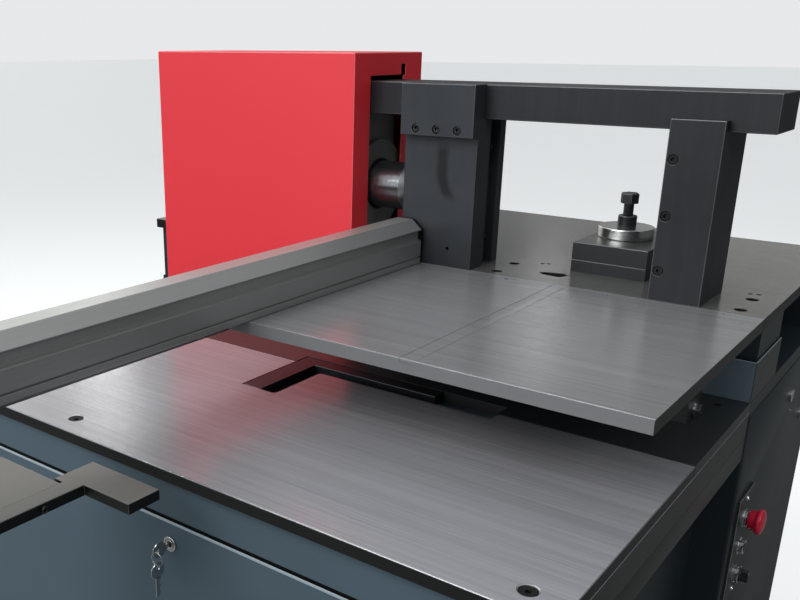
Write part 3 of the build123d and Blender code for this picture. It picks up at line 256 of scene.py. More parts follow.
world = bpy.data.worlds.new("surround")
world.use_nodes = True
bpy.context.scene.world = world
sky = Wiring(world.node_tree, "Generated")
east, north, rise = sky.along("X"), sky.along("Y"), sky.along("Z")
hall = sky.blend(rise.above(0.62, 0.35), hall_grey, ceiling_grey)
hall = sky.blend(rise.near(0.20, 0.16) * north.above(0.93, 0.08), hall, window_white)
hall = sky.blend(east.below(-0.71, 0.16) * rise.below(0.50, 0.2), hall, window_white)
hall = sky.blend(east.below(-0.755, 0.04) * rise.below(0.50, 0.2), hall, window_bright)
hall = sky.blend(north.below(-0.25, 0.7), hall, front_grey)
hall = sky.blend(east.above(0.20, 0.5) * rise.below(0.45, 0.3), hall, right_dark)
seen = sky.node("ShaderNodeLightPath", output="Is Camera Ray")
backdrop = world.node_tree.nodes["Background"]
world.node_tree.links.new(sky.blend(seen, hall, pale).socket, backdrop.inputs["Color"])
backdrop.inputs["Strength"].default_value = 1.0


def soft_box(name, place, aim, size, watts, mirrored=True):
    """A rectangular light that doesn't show as a shape, and may be kept out of the mirrors."""
    light = bpy.data.lights.new(name, "AREA")
    light.shape = "RECTANGLE"
    light.size, light.size_y = size
    light.energy = watts
    lamp = bpy.data.objects.new(name, light)
    lamp.location = place
    lamp.rotation_euler = (Vector(aim) - Vector(place)).to_track_quat("-Z", "Y").to_euler()
    lamp.visible_camera = False
    lamp.visible_glossy = mirrored
    bpy.context.collection.objects.link(lamp)


soft_box("window_near", (-4.30, 3.05, 2.6), (0, 0, 0.9), (0.035, 2.0), 1.6)
soft_box("window_far", (-4.14, 3.16, 2.6), (0, 0, 0.9), (0.08, 2.0), 2.8)
soft_box("ceiling_left", (-2.0, 1.4, 4.6), (0, 0, 0.9), (2.6, 2.6), 55)
soft_box("front_high", (-0.6, -3.2, 4.0), (0, 0.2, 0.9), (2.6, 2.2), 100)
soft_box("front_low", (-1.2, -4.2, 2.2), (0, 0.2, 0.9), (2.6, 1.8), 42)
soft_box("right_high", (3.2, -1.0, 3.2), (-0.1, 0.45, 1.1), (1.0, 1.0), 19)
soft_box("back_fill", (1.0, 5.2, 2.4), (0, 0.5, 0.7), (2.0, 1.6), 30, mirrored=False)
soft_box("rod_glint", (-2.18, -2.55, 2.77), (-0.04, 0.39, 1.1), (0.6, 0.10), 10)
soft_box("window_back", (-1.99, 5.74, 2.80), (0.33, 0.2, 0.97), (0.30, 0.5), 0.7)


# Levelling feet: zinc plated steel discs with a threaded stem, screwed up into the
# cabinets' floors, each standing on a rubber pad.
thread_pitch = 0.0015
pad_top = 0.006
foot_neck = 0.020
zinc = Finish("zinc_finish", metallic=1.0)
zinc_cloud = zinc.noise(90.0, 4.0)
rubber = zinc.along("Z").below(pad_top, 0.0004)
thread = zinc.maths("SINE", zinc.along("Z") * (2 * math.pi / thread_pitch))
thread = thread * zinc.along("Z").above(foot_neck, 0.001)
zinc.feed(
    base_color=zinc.blend(rubber, (0.52, 0.52, 0.51), (0.02, 0.02, 0.02)),
    metallic=1.0 - rubber,
    roughness=0.32 + 0.2 * zinc_cloud + 0.3 * rubber,
    normal=zinc.bump(thread, 0.0003),
)
zinc.onto("levelling_feet")


# Cabinets: folded sheet steel, welded and powder coated slate blue grey with a fine
# orange-peel skin. Each fold is a small round; on the table frame, door and apron the
# fold is painted lighter, a painted highlight. The darker body paint is painted shade,
# and the apron's lighter paint is painted light.
def ease(width, *names, segments=2, rim=None):
    """Rounds the sharp edges of CAD nodes by modifiers, and may give them another finish."""
    for name in names:
        piece = nodes[name]
        weld = piece.modifiers.new("weld", "WELD")
        weld.merge_threshold = 1e-5
        flat = piece.modifiers.new("flat", "DECIMATE")
        flat.decimate_type = "DISSOLVE"
        flat.angle_limit = math.radians(1.0)
        bevel = piece.modifiers.new("eased", "BEVEL")
        bevel.width = width
        bevel.segments = segments
        bevel.limit_method = "ANGLE"
        bevel.angle_limit = math.radians(30.0)
        shading = piece.modifiers.new("shading", "WEIGHTED_NORMAL")
        shading.mode = "FACE_AREA"
        shading.weight = 100
        if rim is not None:
            piece.data.materials.append(rim.material)
            bevel.material = 1


def even_finish(name, colour, rough, vary, scale, detail=3.0, **constants):
    """A finish of one colour, whose gloss varies a little from place to place."""
    even = Finish(name, base_color=(*colour, 1.0), **constants)
    even.feed(roughness=rough + vary * even.noise(scale, detail))
    return even


slate_dust = (0.10, 0.10, 0.09)
# Painted shade: the colour of the outer faces at side_x, darker than the paint.
side_painted_shade = (0.026, 0.029, 0.029)
side_depth = 0.0008


def slate_paint(name, light, dull, gloss=0.25, side_x=None):
    """The paint in two tones, duller near the floor, with painted shade on the outer faces at
    side_x.
    """
    slate = Finish(name, specular_ior_level=gloss)
    cloud = slate.noise(2.2, 5.0)
    low = slate.along("Z").below(0.30, 0.5) * slate.noise(9.0, 6.0) * 0.4
    coat = slate.blend(cloud.above(0.5, 0.5), dull, light)
    if side_x is not None:
        coat = slate.blend(slate.along("X").above(side_x - side_depth), coat, side_painted_shade)
    slate.feed(
        base_color=slate.blend(low, coat, slate_dust),
        roughness=0.30 + 0.14 * cloud + 0.2 * low,
        normal=slate.bump(slate.noise(900.0, 2.0), 0.00005, 0.6),
    )
    return slate


slate_light = (0.080, 0.118, 0.145)
slate_dull = (0.064, 0.098, 0.124)
slate = slate_paint("slate_front_finish", slate_light, slate_dull)
slate.onto("face_frame", "front_base", "front_door", "hinge_door_leaves", "hinge_frame_leaves")
# Painted shade: a darker copy of the slate for the rear cabinet, side sheets and riser beams.
slate_painted_shade = slate_paint("slate_painted_shade_finish", (0.028, 0.039, 0.045), (0.021, 0.031, 0.037), 0.12)
slate_painted_shade.onto("rear_cabinet", "side_sheets", "riser_beams")
# Painted light: a lighter copy of the slate for the apron, under the deck's shadow, with painted
# shade on its outer right face.
slate_painted_light = slate_paint(
    "slate_apron_painted_light_finish", (0.150, 0.205, 0.240), (0.125, 0.178, 0.212), side_x=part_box("apron")[1].x
)
slate_painted_light.onto("apron")
band_low, band_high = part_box("table_frame")
# Painted shade on the frame band's outer right face.
slate_band = slate_paint("slate_band_finish", slate_light, slate_dull, side_x=band_high.x)
slate_band.onto("table_frame")
# Painted highlight: a lighter slate on the folds of the table frame, door and apron.
slate_edge_highlight = even_finish(
    "slate_edge_highlight_finish", (0.30, 0.36, 0.40), 0.25, 0.1, 60.0, specular_ior_level=0.7
)
ease(0.0012, "face_frame", "rear_cabinet", "side_sheets")
ease(0.0016, "table_frame", "front_door", rim=slate_edge_highlight)
ease(0.0008, "riser_beams", "front_base", "hinge_door_leaves", "hinge_frame_leaves")
ease(0.0008, "apron", rim=slate_edge_highlight)


# Side flanges: the front edges of the side sheets are folded outwards to meet the
# stiles, which closes the cabinet beside the door.
def make_piece(name, mesh, body, slot, finish, *stands_for, crease=30.0):
    """Makes a finished bmesh a piece of the machine, smooth but for its sharp edges."""
    bmesh.ops.remove_doubles(mesh, verts=mesh.verts, dist=1e-6)
    bmesh.ops.recalc_face_normals(mesh, faces=mesh.faces)
    for face in mesh.faces:
        face.smooth = True
    for edge in mesh.edges:
        edge.smooth = edge.calc_face_angle(0.0) < math.radians(crease)
    data = bpy.data.meshes.new(name)
    mesh.to_mesh(data)
    mesh.free()
    piece = bpy.data.objects.new(name, data)
    bpy.context.collection.objects.link(piece)
    finish.onto(piece)
    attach(piece, body)
    if stands_for:
        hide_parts(*stands_for)


def block(mesh, low, high, edge=0.0):
    """Adds a block between two corners, with its edges eased."""
    low, high = Vector(low), Vector(high)
    made = bmesh.ops.create_cube(mesh, size=1.0)["verts"]
    bmesh.ops.scale(mesh, vec=high - low, verts=made)
    bmesh.ops.translate(mesh, vec=(low + high) / 2, verts=made)
    if edge:
        edges = list({e for v in made for e in v.link_edges})
        bmesh.ops.bevel(
            mesh, geom=edges, offset=edge, segments=2, profile=0.5, affect="EDGES", material=-1
        )


sheets_low, sheets_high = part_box("side_sheets")
stile_back, stile_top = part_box("face_frame")[1].yz
door_low, door_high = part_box("front_door")
flange_t = 0.0020
stile_hold = 0.004
side_flanges = bmesh.new()
for inner_x, stile_x in (
    (sheets_low.x, door_low.x - stile_hold),
    (sheets_high.x, door_high.x + stile_hold),
):
    block(
        side_flanges,
        (min(inner_x, stile_x), stile_back - flange_t, sheets_low.z),
        (max(inner_x, stile_x), stile_back, stile_top),
        edge=0.0005,
    )
# Painted shade, in the darker slate.
make_piece("side_flanges", side_flanges, "frame", "slate_paint", slate_painted_shade)

# Side bands: the sheet round the table's edge reaches lower along both sides than it
# does over the door.
band_drop = 0.020
side_bands = bmesh.new()
for outer_x, back_x in (
    (band_low.x, band_low.x + flange_t),
    (band_high.x, band_high.x - flange_t),
):
    block(
        side_bands,
        (min(outer_x, back_x), stile_back, band_low.z - band_drop),
        (max(outer_x, back_x), band_high.y, sheets_high.z),
        edge=0.0004,
    )
make_piece("side_bands", side_bands, "frame", "slate_paint", slate_band)

# Access panel: a flat sheet of the same paint that closes the right side of the rear
# cabinet, lifted off by two quarter-turn fasteners. A window in it, behind the button
# plate, leaves room for the switches.
def thicken(mesh, t, edge, segments, axis):
    """Gives a flat mesh its thickness, half to each side, and breaks its sharp edges."""
    push = Vector(axis) * t
    grown = bmesh.ops.extrude_face_region(mesh, geom=mesh.faces[:] + mesh.edges[:] + mesh.verts[:])
    raised = [g for g in grown["geom"] if isinstance(g, bmesh.types.BMVert)]
    bmesh.ops.translate(mesh, vec=push, verts=raised)
    bmesh.ops.translate(mesh, vec=-push / 2, verts=mesh.verts)
    sharp = [e for e in mesh.edges if e.calc_face_angle(0.0) > math.radians(60)]
    bmesh.ops.bevel(
        mesh, geom=sharp, offset=edge, segments=segments, profile=0.5, affect="EDGES", material=-1
    )


cabinet_low, cabinet_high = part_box("rear_cabinet")
plate_low, plate_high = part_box("button_plate")
panel_margin = 0.025
panel_front_gap = 0.003
panel_t = 0.0024
panel_low_z = 0.130
window_inset = 0.012
panel_low = (cabinet_low.y + panel_front_gap, panel_low_z)
panel_high = (cabinet_high.y - panel_margin, cabinet_high.z - panel_margin)
window_low = (plate_low.y + window_inset, plate_low.z + window_inset)
window_high = (plate_high.y - window_inset, plate_high.z - window_inset)
panel = bmesh.new()
for (low_y, low_z), (high_y, high_z) in ((panel_low, panel_high), (window_low, window_high)):
    outline = ((low_y, low_z), (high_y, low_z), (high_y, high_z), (low_y, high_z))
    corners = [panel.verts.new((cabinet_high.x, y, z)) for y, z in outline]
    for first, second in zip(corners, corners[1:] + corners[:1]):
        panel.edges.new((first, second))
bmesh.ops.bridge_loops(panel, edges=panel.edges[:])
thicken(panel, panel_t, 0.0005, 2, (1, 0, 0))
# Painted shade, in the darker slate.
make_piece("access_panel", panel, "frame", "slate_paint", slate_painted_shade)


# Quarter-turn fasteners: a pressed cup in the panel with a nickel plated stud in it,
# whose cross slot takes a coin or a screwdriver.
def turn(mesh, outline, centre, axis, steps=40):
    """Spins an outline of (radius, height) points once round an axis through the centre."""
    axis = Vector(axis)
    centre = Vector(centre)
    side = axis.orthogonal().normalized()
    corners = [mesh.verts.new(centre + side * r + axis * height) for r, height in outline]
    edges = [mesh.edges.new(pair) for pair in zip(corners, corners[1:])]
    bmesh.ops.spin(
        mesh,
        geom=corners + edges,
        cent=centre,
        axis=axis,
        angle=2 * math.pi,
        steps=steps,
        use_merge=True,
    )


def middle(name):
    """The middle of a CAD node's box."""
    low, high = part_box(name)
    return (low + high) / 2


bright = even_finish("bright_finish", (0.74, 0.74, 0.73), 0.10, 0.14, 160.0, metallic=1.0)
bright.onto("hinge_pins", "support_bolts", "panel_latches")
ease(0.0006, "support_bolts", "panel_latches")

# Button plate: a thick bar of black anodised aluminium, with its edges machined bright
# and a small screw at each end that holds it to the cabinet.
plate_black = even_finish("plate_black_finish", (0.016, 0.022, 0.024), 0.34, 0.2, 30.0, 4.0)
plate_black.onto("button_plate")
plate_edge = even_finish("plate_edge_finish", (0.42, 0.42, 0.41), 0.3, 0.1, 90.0, metallic=0.3)
ease(0.0012, "button_plate", segments=1, rim=plate_edge)
plate_screw_inset = 0.010
plate_screw_head = [
    (0.0, 0.0010),
    (0.0014, 0.0010),
    (0.0020, 0.0022),
    (0.0030, 0.0020),
    (0.0038, 0.0006),
    (0.0038, -0.001),
]
plate_screws = bmesh.new()
for z in (plate_low.z + plate_screw_inset, plate_high.z - plate_screw_inset):
    screw_spot = (plate_high.x, middle("button_plate").y, z)
    turn(plate_screws, plate_screw_head, screw_spot, (1, 0, 0), steps=24)
make_piece("button_plate_screws", plate_screws, "frame", "bright_steel", bright)

# Button bezels: chromed brass sleeves that clamp each switch to the plate, turned with
# a thin flange and a chamfered mouth.
bezel_foot = 0.0005
bezel_flange_r = 0.0145
bezel_flange_t = 0.0012
bezel_slope = 0.0003
bezel_mouth = 0.0007
ring_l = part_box("button_rings")[1].x - plate_high.x
bezels = bmesh.new()
for switch, sleeve_r, bore_r, sleeve_rise in (
    ("stop_button", 0.0130, 0.0086, 0.0014),
    ("start_button", 0.0118, 0.0084, 0.0034),
    ("selector_knob", 0.0140, 0.0119, 0.0036),
):
    bezel_centre = (plate_high.x, *middle(switch).yz)
    sleeve_l = ring_l + sleeve_rise
    bezel_outline = [
        (bezel_flange_r, -bezel_foot),
        (bezel_flange_r, bezel_flange_t),
        (sleeve_r, bezel_flange_t + bezel_slope),
        (sleeve_r, sleeve_l - bezel_mouth),
        (sleeve_r - bezel_mouth, sleeve_l),
        (bore_r + bezel_mouth, sleeve_l),
        (bore_r, sleeve_l - bezel_mouth),
        (bore_r, -bezel_foot),
    ]
    turn(bezels, bezel_outline, bezel_centre, (1, 0, 0))
    rims = [e for e in bezels.edges if e.is_boundary]
    bmesh.ops.bridge_loops(bezels, edges=rims)
chrome_bezel = even_finish("bezel_finish", (0.86, 0.86, 0.86), 0.06, 0.06, 120.0, 2.0, metallic=1.0)
make_piece("button_bezels", bezels, "frame", "bright_steel", chrome_bezel, "button_rings")

# Push buttons: moulded heads. The stop button is a red mushroom in two steps, the
# start button a flat black cap, the selector a black knob with a pointer line.
plastic = Finish("plastic_finish", base_color=(0.018, 0.018, 0.019, 1.0))
plastic.feed(
    roughness=0.35 + 0.15 * plastic.noise(60.0, 3.0),
    normal=plastic.bump(plastic.noise(1500.0, 2.0), 0.00003, 0.6),
)
plastic.onto("start_button", "selector_knob")
ease(0.0008, "start_button", "selector_knob")
pointer_white = even_finish("pointer_white_finish", (0.75, 0.75, 0.74), 0.4, 0.1, 200.0, 2.0)
knob_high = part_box("selector_knob")[1]
knob_mid = middle("selector_knob")
pointer_w = 0.0012
pointer_gap = 0.002
pointer_inset = 0.004
pointer_sink = 0.0004
pointer_rise = 0.0002
pointer = bmesh.new()
block(
    pointer,
    (knob_high.x - pointer_sink, knob_mid.y - pointer_w / 2, knob_mid.z + pointer_gap),
    (knob_high.x + pointer_rise, knob_mid.y + pointer_w / 2, knob_high.z - pointer_inset),
)
make_piece("selector_pointer", pointer, "selector", "black_plastic", pointer_white)

red_plastic = even_finish(
    "red_plastic_finish", (0.66, 0.012, 0.048), 0.24, 0.1, 80.0, coat_weight=0.25
)
stop_low, stop_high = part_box("stop_button")
stop_r = (stop_high.z - stop_low.z) / 2
stop_l = stop_high.x - stop_low.x
stop_head = bmesh.new()
stop_outline = [
    (0.0, 0.0),
    (0.0080, 0.0),
    (0.0080, 0.0120),
    (0.0138, 0.0122),
    (0.0138, 0.0072),
    (0.0150, 0.0072),
    (0.0156, 0.0080),
    (0.0154, 0.0165),
    (0.0160, 0.0178),
    (stop_r - 0.0008, 0.0182),
    (stop_r, 0.0192),
    (stop_r, 0.0236),
    (stop_r - 0.0012, 0.0258),
    (0.0165, 0.0268),
    (0.0120, 0.0284),
    (0.0060, stop_l - 0.0001),
    (0.0, stop_l),
]
turn(stop_head, stop_outline, (stop_low.x, *middle("stop_button").yz), (1, 0, 0), steps=48)
make_piece("stop_head", stop_head, "stop", "red_plastic", red_plastic, "stop_button", crease=50.0)


# Keys: a nickel plated key in the cam lock, and its spare hanging from a split ring.
# Each has a faceted bow with a hole, and a blade cut on one side.
key_t = 0.0018
key_edge = 0.0005
key_bow_r = 0.0110
key_hole_r = 0.0030
key_hole_off = 0.0044
key_blade_w = 0.0084
key_lap = 0.0010
key_cuts = (0.0, 0.0, 0.0010, 0.0022, 0.0006, 0.0018, 0.0024, 0.0010, 0.0026, 0.0034)


def turn_up(mesh, axis):
    """Turns a mesh a quarter round an axis through the origin."""
    quarter = Matrix.Rotation(math.pi / 2, 3, axis)
    bmesh.ops.rotate(mesh, cent=(0, 0, 0), matrix=quarter, verts=mesh.verts)


def key_blank(mesh, blade_l):
    """A key lying in X and Z, its bow round the origin and its blade down -Z."""
    rim = bmesh.ops.create_circle(mesh, segments=14, radius=key_bow_r)["verts"]
    hole = bmesh.ops.create_circle(mesh, segments=14, radius=key_hole_r)["verts"]
    bmesh.ops.translate(mesh, vec=(0, key_hole_off, 0), verts=hole)
    loops = list({e for v in rim + hole for e in v.link_edges})
    bmesh.ops.bridge_loops(mesh, edges=loops)
    steps = len(key_cuts) - 1
    blade = bmesh.ops.create_grid(mesh, x_segments=1, y_segments=steps, size=0.5)["verts"]
    bmesh.ops.scale(mesh, vec=(key_blade_w, blade_l + 2 * key_lap, 1), verts=blade)
    bmesh.ops.translate(mesh, vec=(0, key_lap - key_bow_r - blade_l / 2, 0), verts=blade)
    cut_side = sorted((v for v in blade if v.co.x > 0), key=lambda v: -v.co.y)
    for vert, depth in zip(cut_side, key_cuts):
        vert.co.x -= depth
    thicken(mesh, key_t, key_edge, 1, (0, 0, 1))
    turn_up(mesh, "X")


key_low, key_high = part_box("door_key")
lock_mid = middle("door_key")
lock_mid.y = key_low.y + key_bow_r
lock_rim_r = 0.0090
lock_step_r = 0.0054
# The lock is dark metal with two bright rings on its rim and its step: painted highlights.
lock_metal = Finish("lock_finish", metallic=1.0)
lock_r = lock_metal.reach("X", "Z", lock_mid)
lock_highlight_rings = lock_r.near(lock_rim_r, 0.0050), lock_r.near(lock_step_r, 0.0034)
lock_highlight = lock_metal.maths("ADD", *lock_highlight_rings, clamp=True)
lock_metal.feed(
    base_color=lock_metal.blend(lock_highlight, (0.040, 0.041, 0.043), (0.95, 0.95, 0.94)),
    roughness=0.24 - 0.12 * lock_highlight + 0.1 * lock_metal.noise(200.0, 3.0),
)
lock_metal.onto("lock_housing", "lock_plug")
ease(0.0006, "lock_housing", "lock_plug")
key_metal = Finish("key_metal_finish", metallic=1.0, base_color=(0.58, 0.58, 0.57, 1.0))
key_metal.feed(
    roughness=0.14 + 0.16 * key_metal.noise(300.0, 3.0),
    normal=key_metal.bump(key_metal.grain((900, 900, 60), 2.0), 0.00002),
)
turned_key = bmesh.new()
key_blank(turned_key, key_high.y - lock_mid.y - key_bow_r)
turn_up(turned_key, "Z")
turn_up(turned_key, "X")
bmesh.ops.translate(turned_key, vec=lock_mid, verts=turned_key.verts)
make_piece("key_in_lock", turned_key, "lock", "bright_steel", key_metal, "door_key")

spare_low, spare_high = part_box("spare_key")
spare_mid = middle("spare_key")
spare_mid.z = spare_high.z - key_bow_r
hanging_key = bmesh.new()
key_blank(hanging_key, spare_high.z - spare_low.z - 2 * key_bow_r)
turn_up(hanging_key, "Z")
bmesh.ops.translate(hanging_key, vec=spare_mid, verts=hanging_key.verts)
make_piece("key_hanging", hanging_key, "keys", "bright_steel", key_metal, "spare_key")

ring_low, ring_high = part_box("key_ring")
ring_mid = middle("key_ring")
ring_wire_r = 0.00042
ring_r = (ring_high.x - ring_low.x) / 2 - ring_wire_r
ring_turns = 1.85
ring_steps = 72
split_ring = bmesh.new()
wire = bmesh.ops.create_circle(split_ring, segments=8, radius=ring_wire_r, cap_ends=True)
bmesh.ops.translate(split_ring, vec=(ring_r, 0, 0), verts=wire["verts"])
bmesh.ops.translate(split_ring, vec=ring_mid - Vector((0, ring_wire_r, 0)), verts=split_ring.verts)
bmesh.ops.spin(
    split_ring,
    geom=split_ring.faces[:],
    cent=ring_mid,
    axis=(0, 1, 0),
    dvec=(0, 2 * ring_wire_r / ring_steps, 0),
    angle=2 * math.pi * ring_turns,
    steps=ring_steps,
)
make_piece("split_ring", split_ring, "keys", "bright_steel", bright, "key_ring", crease=60.0)

# Door seal: a near-black strip on the frame over the door, a painted shade that stands
# in for the shadow in the gap over the door.
gap_shade_h = 0.0048
gap_shade_t = 0.0008
gap_shade_lift = 0.0002
gap_shade_finish = even_finish(
    "gap_shade_finish", (0.002, 0.002, 0.002), 0.7, 0.2, 300.0, 2.0, specular_ior_level=0.1
)
gap_shade_strip = bmesh.new()
block(
    gap_shade_strip,
    (door_low.x, door_low.y - gap_shade_t, door_high.z + gap_shade_lift),
    (door_high.x, door_low.y + gap_shade_t, door_high.z + gap_shade_h),
    edge=0.0002,
)
make_piece("door_gap_shade", gap_shade_strip, "frame", "black_plastic", gap_shade_finish)

# Door edge: a drawn strip pressed over the door's top fold, painted much lighter than
# the door: a painted highlight, which shows as one bright line under the dark strip.
door_strip_h = 0.0042
door_strip_t = 0.0008
door_strip_highlight_finish = even_finish(
    "door_strip_highlight_finish", (0.42, 0.50, 0.55), 0.26, 0.1, 90.0, metallic=0.2
)
door_strip = bmesh.new()
block(
    door_strip,
    (door_low.x, door_low.y - door_strip_t, door_high.z - door_strip_h),
    (door_high.x, door_low.y + door_strip_t, door_high.z),
    edge=0.0006,
)
make_piece("door_strip", door_strip, "door", "slate_paint", door_strip_highlight_finish)

# Rear table and plate supports: a steel plate on the rear half of the cabinet and the
# blocks on it that carry the raised plate, all painted satin black.
black_paint = Finish("black_paint_finish")
black_cloud = black_paint.noise(3.0, 5.0)
black_paint.feed(
    base_color=black_paint.blend(black_cloud, (0.020, 0.022, 0.023), (0.034, 0.037, 0.039)),
    roughness=0.30 + 0.2 * black_cloud,
    normal=black_paint.bump(black_paint.noise(800.0, 2.0), 0.00005, 0.5),
)
black_paint.onto("rear_table", "plate_supports")
ease(0.001, "rear_table", "plate_supports")


# Table, raised plate and deck: mild steel plates, ground along the machine's width, so
# the grain runs in X. Their sides are black from the mill, but for the raised plate's
# grey front and its right end, which is black as painted shade. The two lower plates'
# top edges are rubbed bright.
mill_and_shade_black = (0.012, 0.012, 0.012)
edge_break = 0.0010
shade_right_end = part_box("raised_plate")[1].x - 0.0006


def ground_steel(name, light, dark, roughness, shine, edge_below, edge_colour=mill_and_shade_black):
    """Steel brushed along X, with its sides in another colour and its right end black, a painted
    shade.
    """
    steel = Finish(name, specular_ior_level=0.2)
    fine = steel.grain((5.0, 420.0, 150.0), 6.0, 0.6)
    broad = steel.grain((1.1, 70.0, 20.0), 4.0, 0.6)
    cloud = steel.noise(2.4, 4.0, 0.6)
    line = steel.grain((1.6, 900.0, 90.0), 2.0).above(0.62, 0.12)
    tone = 0.55 * fine + 0.30 * broad + 0.25 * cloud
    top = steel.blend(tone.above(0.56, 0.34), dark, light)
    top = steel.blend(0.22 * line, top, dark)
    edge = steel.along("Z").below(edge_below)
    # The right end is black: painted shade, and mill black on the lower plates.
    side = steel.blend(steel.along("X").above(shade_right_end), edge_colour, mill_and_shade_black)
    steel.feed(
        base_color=steel.blend(edge, top, side),
        metallic=shine - 0.8 * shine * edge,
        roughness=roughness + 0.04 * fine + 0.05 * cloud + 0.25 * edge,
        normal=steel.bump(fine, 0.00030, 0.8),
    )
    return steel


table_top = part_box("front_table")[1].z
table_finish = ground_steel(
    "table_finish", (0.385, 0.382, 0.402), (0.262, 0.260, 0.278), 0.06, 0.24, table_top - edge_break
)
table_finish.onto("front_table")
raised_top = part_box("raised_plate")[1].z
raised_finish = ground_steel(
    "raised_plate_finish", (0.33, 0.33, 0.338), (0.23, 0.23, 0.236), 0.08, 0.36,
    raised_top - edge_break, (0.19, 0.195, 0.20),
)
raised_finish.onto("raised_plate", "centre_strip")
seam = Finish("seam_finish")
seam_end_l = 0.002
seam_front = seam.along("Y").below(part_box("centre_strip")[0].y + seam_end_l)
seam.feed(
    base_color=seam.blend(seam_front, (0.085, 0.083, 0.077), (0.25, 0.255, 0.26)),
    roughness=0.5 + 0.2 * seam.noise(60.0, 3.0),
)
deck_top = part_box("deck")[1].z
deck_finish = ground_steel(
    "deck_finish", (0.27, 0.267, 0.256), (0.175, 0.173, 0.166), 0.10, 0.62, deck_top - edge_break
)
deck_finish.onto("deck")
plate_rim = even_finish("plate_rim_finish", (0.50, 0.51, 0.52), 0.16, 0.12, 80.0, 4.0, metallic=0.9)
ease(0.0005, "deck", segments=1)
ease(0.0007, "front_table", "raised_plate", segments=1, rim=plate_rim)
ease(0.0015, "centre_strip", segments=1, rim=seam)

# Press frame and ram: thick drawn steel bars, milled, then blackened in a hot oxide
# bath and oiled. The film clouds, runs down the sides, and rubs grey at the edges.
oxide_dark = (0.013, 0.0145, 0.0175)
oxide_light = (0.025, 0.028, 0.032)
black_steel = Finish("black_steel_finish", metallic=0.15, specular_ior_level=0.3)
oxide_cloud = black_steel.noise(6.0, 6.0, 0.6)
oxide_grain = black_steel.grain((120.0, 120.0, 12.0))
oxide_tone = 0.6 * oxide_cloud + 0.4 * oxide_grain
black_steel.feed(
    base_color=black_steel.blend(oxide_tone.above(0.5, 0.4), oxide_dark, oxide_light),
    roughness=0.34 + 0.2 * oxide_cloud,
    normal=black_steel.bump(oxide_grain, 0.00003, 0.6),
)
black_steel.onto("die_post", "tie_beam", "slot_bar")
rubbed = even_finish(
    "rubbed_edge_finish", (0.11, 0.115, 0.12), 0.28, 0.15, 70.0, 4.0, metallic=0.6
)
ease(0.0006, "die_post", "tie_beam", "slot_bar", segments=1, rim=rubbed)

# The ram and the clamp that laps the beam are of the same steel, bluer and less worn.
# Oil from the clamp's slide has run down the ram's front in one curved dark streak,
# and the ram is darker towards its lower end.
ram_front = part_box("ram")[0].y
ram_dark = (0.026, 0.029, 0.034)
ram_light = (0.046, 0.051, 0.058)
smear_x = 0.070
smear_low_z = 1.090
smear_high_z = 1.172
smear_w = 0.019
smear_bend_z = 1.128
smear_bend_h = 0.036
smear_kick = 0.013
darken_below_z = 1.04
ram_steel = Finish("ram_steel_finish", metallic=0.15, specular_ior_level=0.3)
ram_cloud = ram_steel.noise(6.0, 6.0, 0.6)
ram_grain = ram_steel.grain((120.0, 120.0, 12.0))
ram_rise = ram_steel.along("Z")
smear_bend = ram_steel.maths("MAXIMUM", smear_bend_z - ram_rise) / smear_bend_h
smear_line = smear_x + smear_kick * smear_bend ** 1.6
smear = (ram_steel.along("X") - smear_line).size().below(smear_w / 2, smear_w * 0.45)
smear = smear * ram_rise.above(smear_low_z, 0.012) * ram_rise.below(smear_high_z, 0.016)
smear = smear * ram_steel.along("Y").below(ram_front + 0.002, 0.001)
darker_low = ram_rise.below(darken_below_z, 0.12)
ram_tone = 0.85 * ram_cloud + 0.15 * ram_grain
ram_colour = ram_steel.blend(ram_tone.above(0.5, 0.4), ram_dark, ram_light)
ram_steel.feed(
    base_color=ram_steel.blend(0.70 * smear + 0.25 * darker_low, ram_colour, (0.003, 0.003, 0.004)),
    roughness=0.34 + 0.2 * ram_cloud - 0.06 * smear,
    normal=ram_steel.bump(ram_grain, 0.00003, 0.6),
)
ram_steel.onto("ram", "guide_clamp")
ease(0.0006, "ram", segments=1, rim=rubbed)
clamp_edge = even_finish(
    "clamp_edge_finish", (0.24, 0.25, 0.26), 0.28, 0.15, 70.0, 4.0, metallic=0.7
)
ease(0.0006, "guide_clamp", segments=1, rim=clamp_edge)

# Socket screws: black oxide heads in counterbored seats, worn grey at their rims. The
# table's screws sit deeper, and are painted near black and dull, a painted shade for their deep
# seats.
screw_black = even_finish("screw_finish", (0.012, 0.012, 0.013), 0.26, 0.2, 400.0, metallic=0.6)
screw_black.onto("post_screws", "ram_screws", "finger_bolts")
screw_rim = even_finish("screw_rim_finish", (0.095, 0.097, 0.10), 0.2, 0.2, 300.0, metallic=0.8)
ease(0.0006, "post_screws", "ram_screws", "finger_bolts", segments=1, rim=screw_rim)
sunk_screw_shade = even_finish(
    "table_screw_shade_finish", (0.006, 0.006, 0.006), 0.5, 0.2, 400.0, specular_ior_level=0.2
)
sunk_screw_shade.onto("table_screws")
ease(0.0006, "table_screws", segments=1)

# Red cover: one folded sheet over the cylinder, powder coated red with a fine leather
# texture, open at its right end where the ram's rod comes out.
red = Finish("red_paint_finish")
red_cloud = red.noise(3.0, 4.0)
red_skin = red.noise(420.0, 3.0, 0.6)
red_body = red.blend(0.5 * red_cloud + 0.5 * red_skin, (0.70, 0.022, 0.034), (0.86, 0.040, 0.055))
# The folds of the cover are a lighter pink: a painted highlight.
red_edge_highlight = even_finish("red_edge_highlight_finish", (0.90, 0.16, 0.18), 0.3, 0.1, 80.0)
red.feed(
    base_color=red_body,
    roughness=0.38 + 0.2 * red_skin,
    normal=red.bump(red_skin, 0.00025, 0.6),
)
red.onto("cylinder_cover")
ease(0.0012, "cylinder_cover", rim=red_edge_highlight)

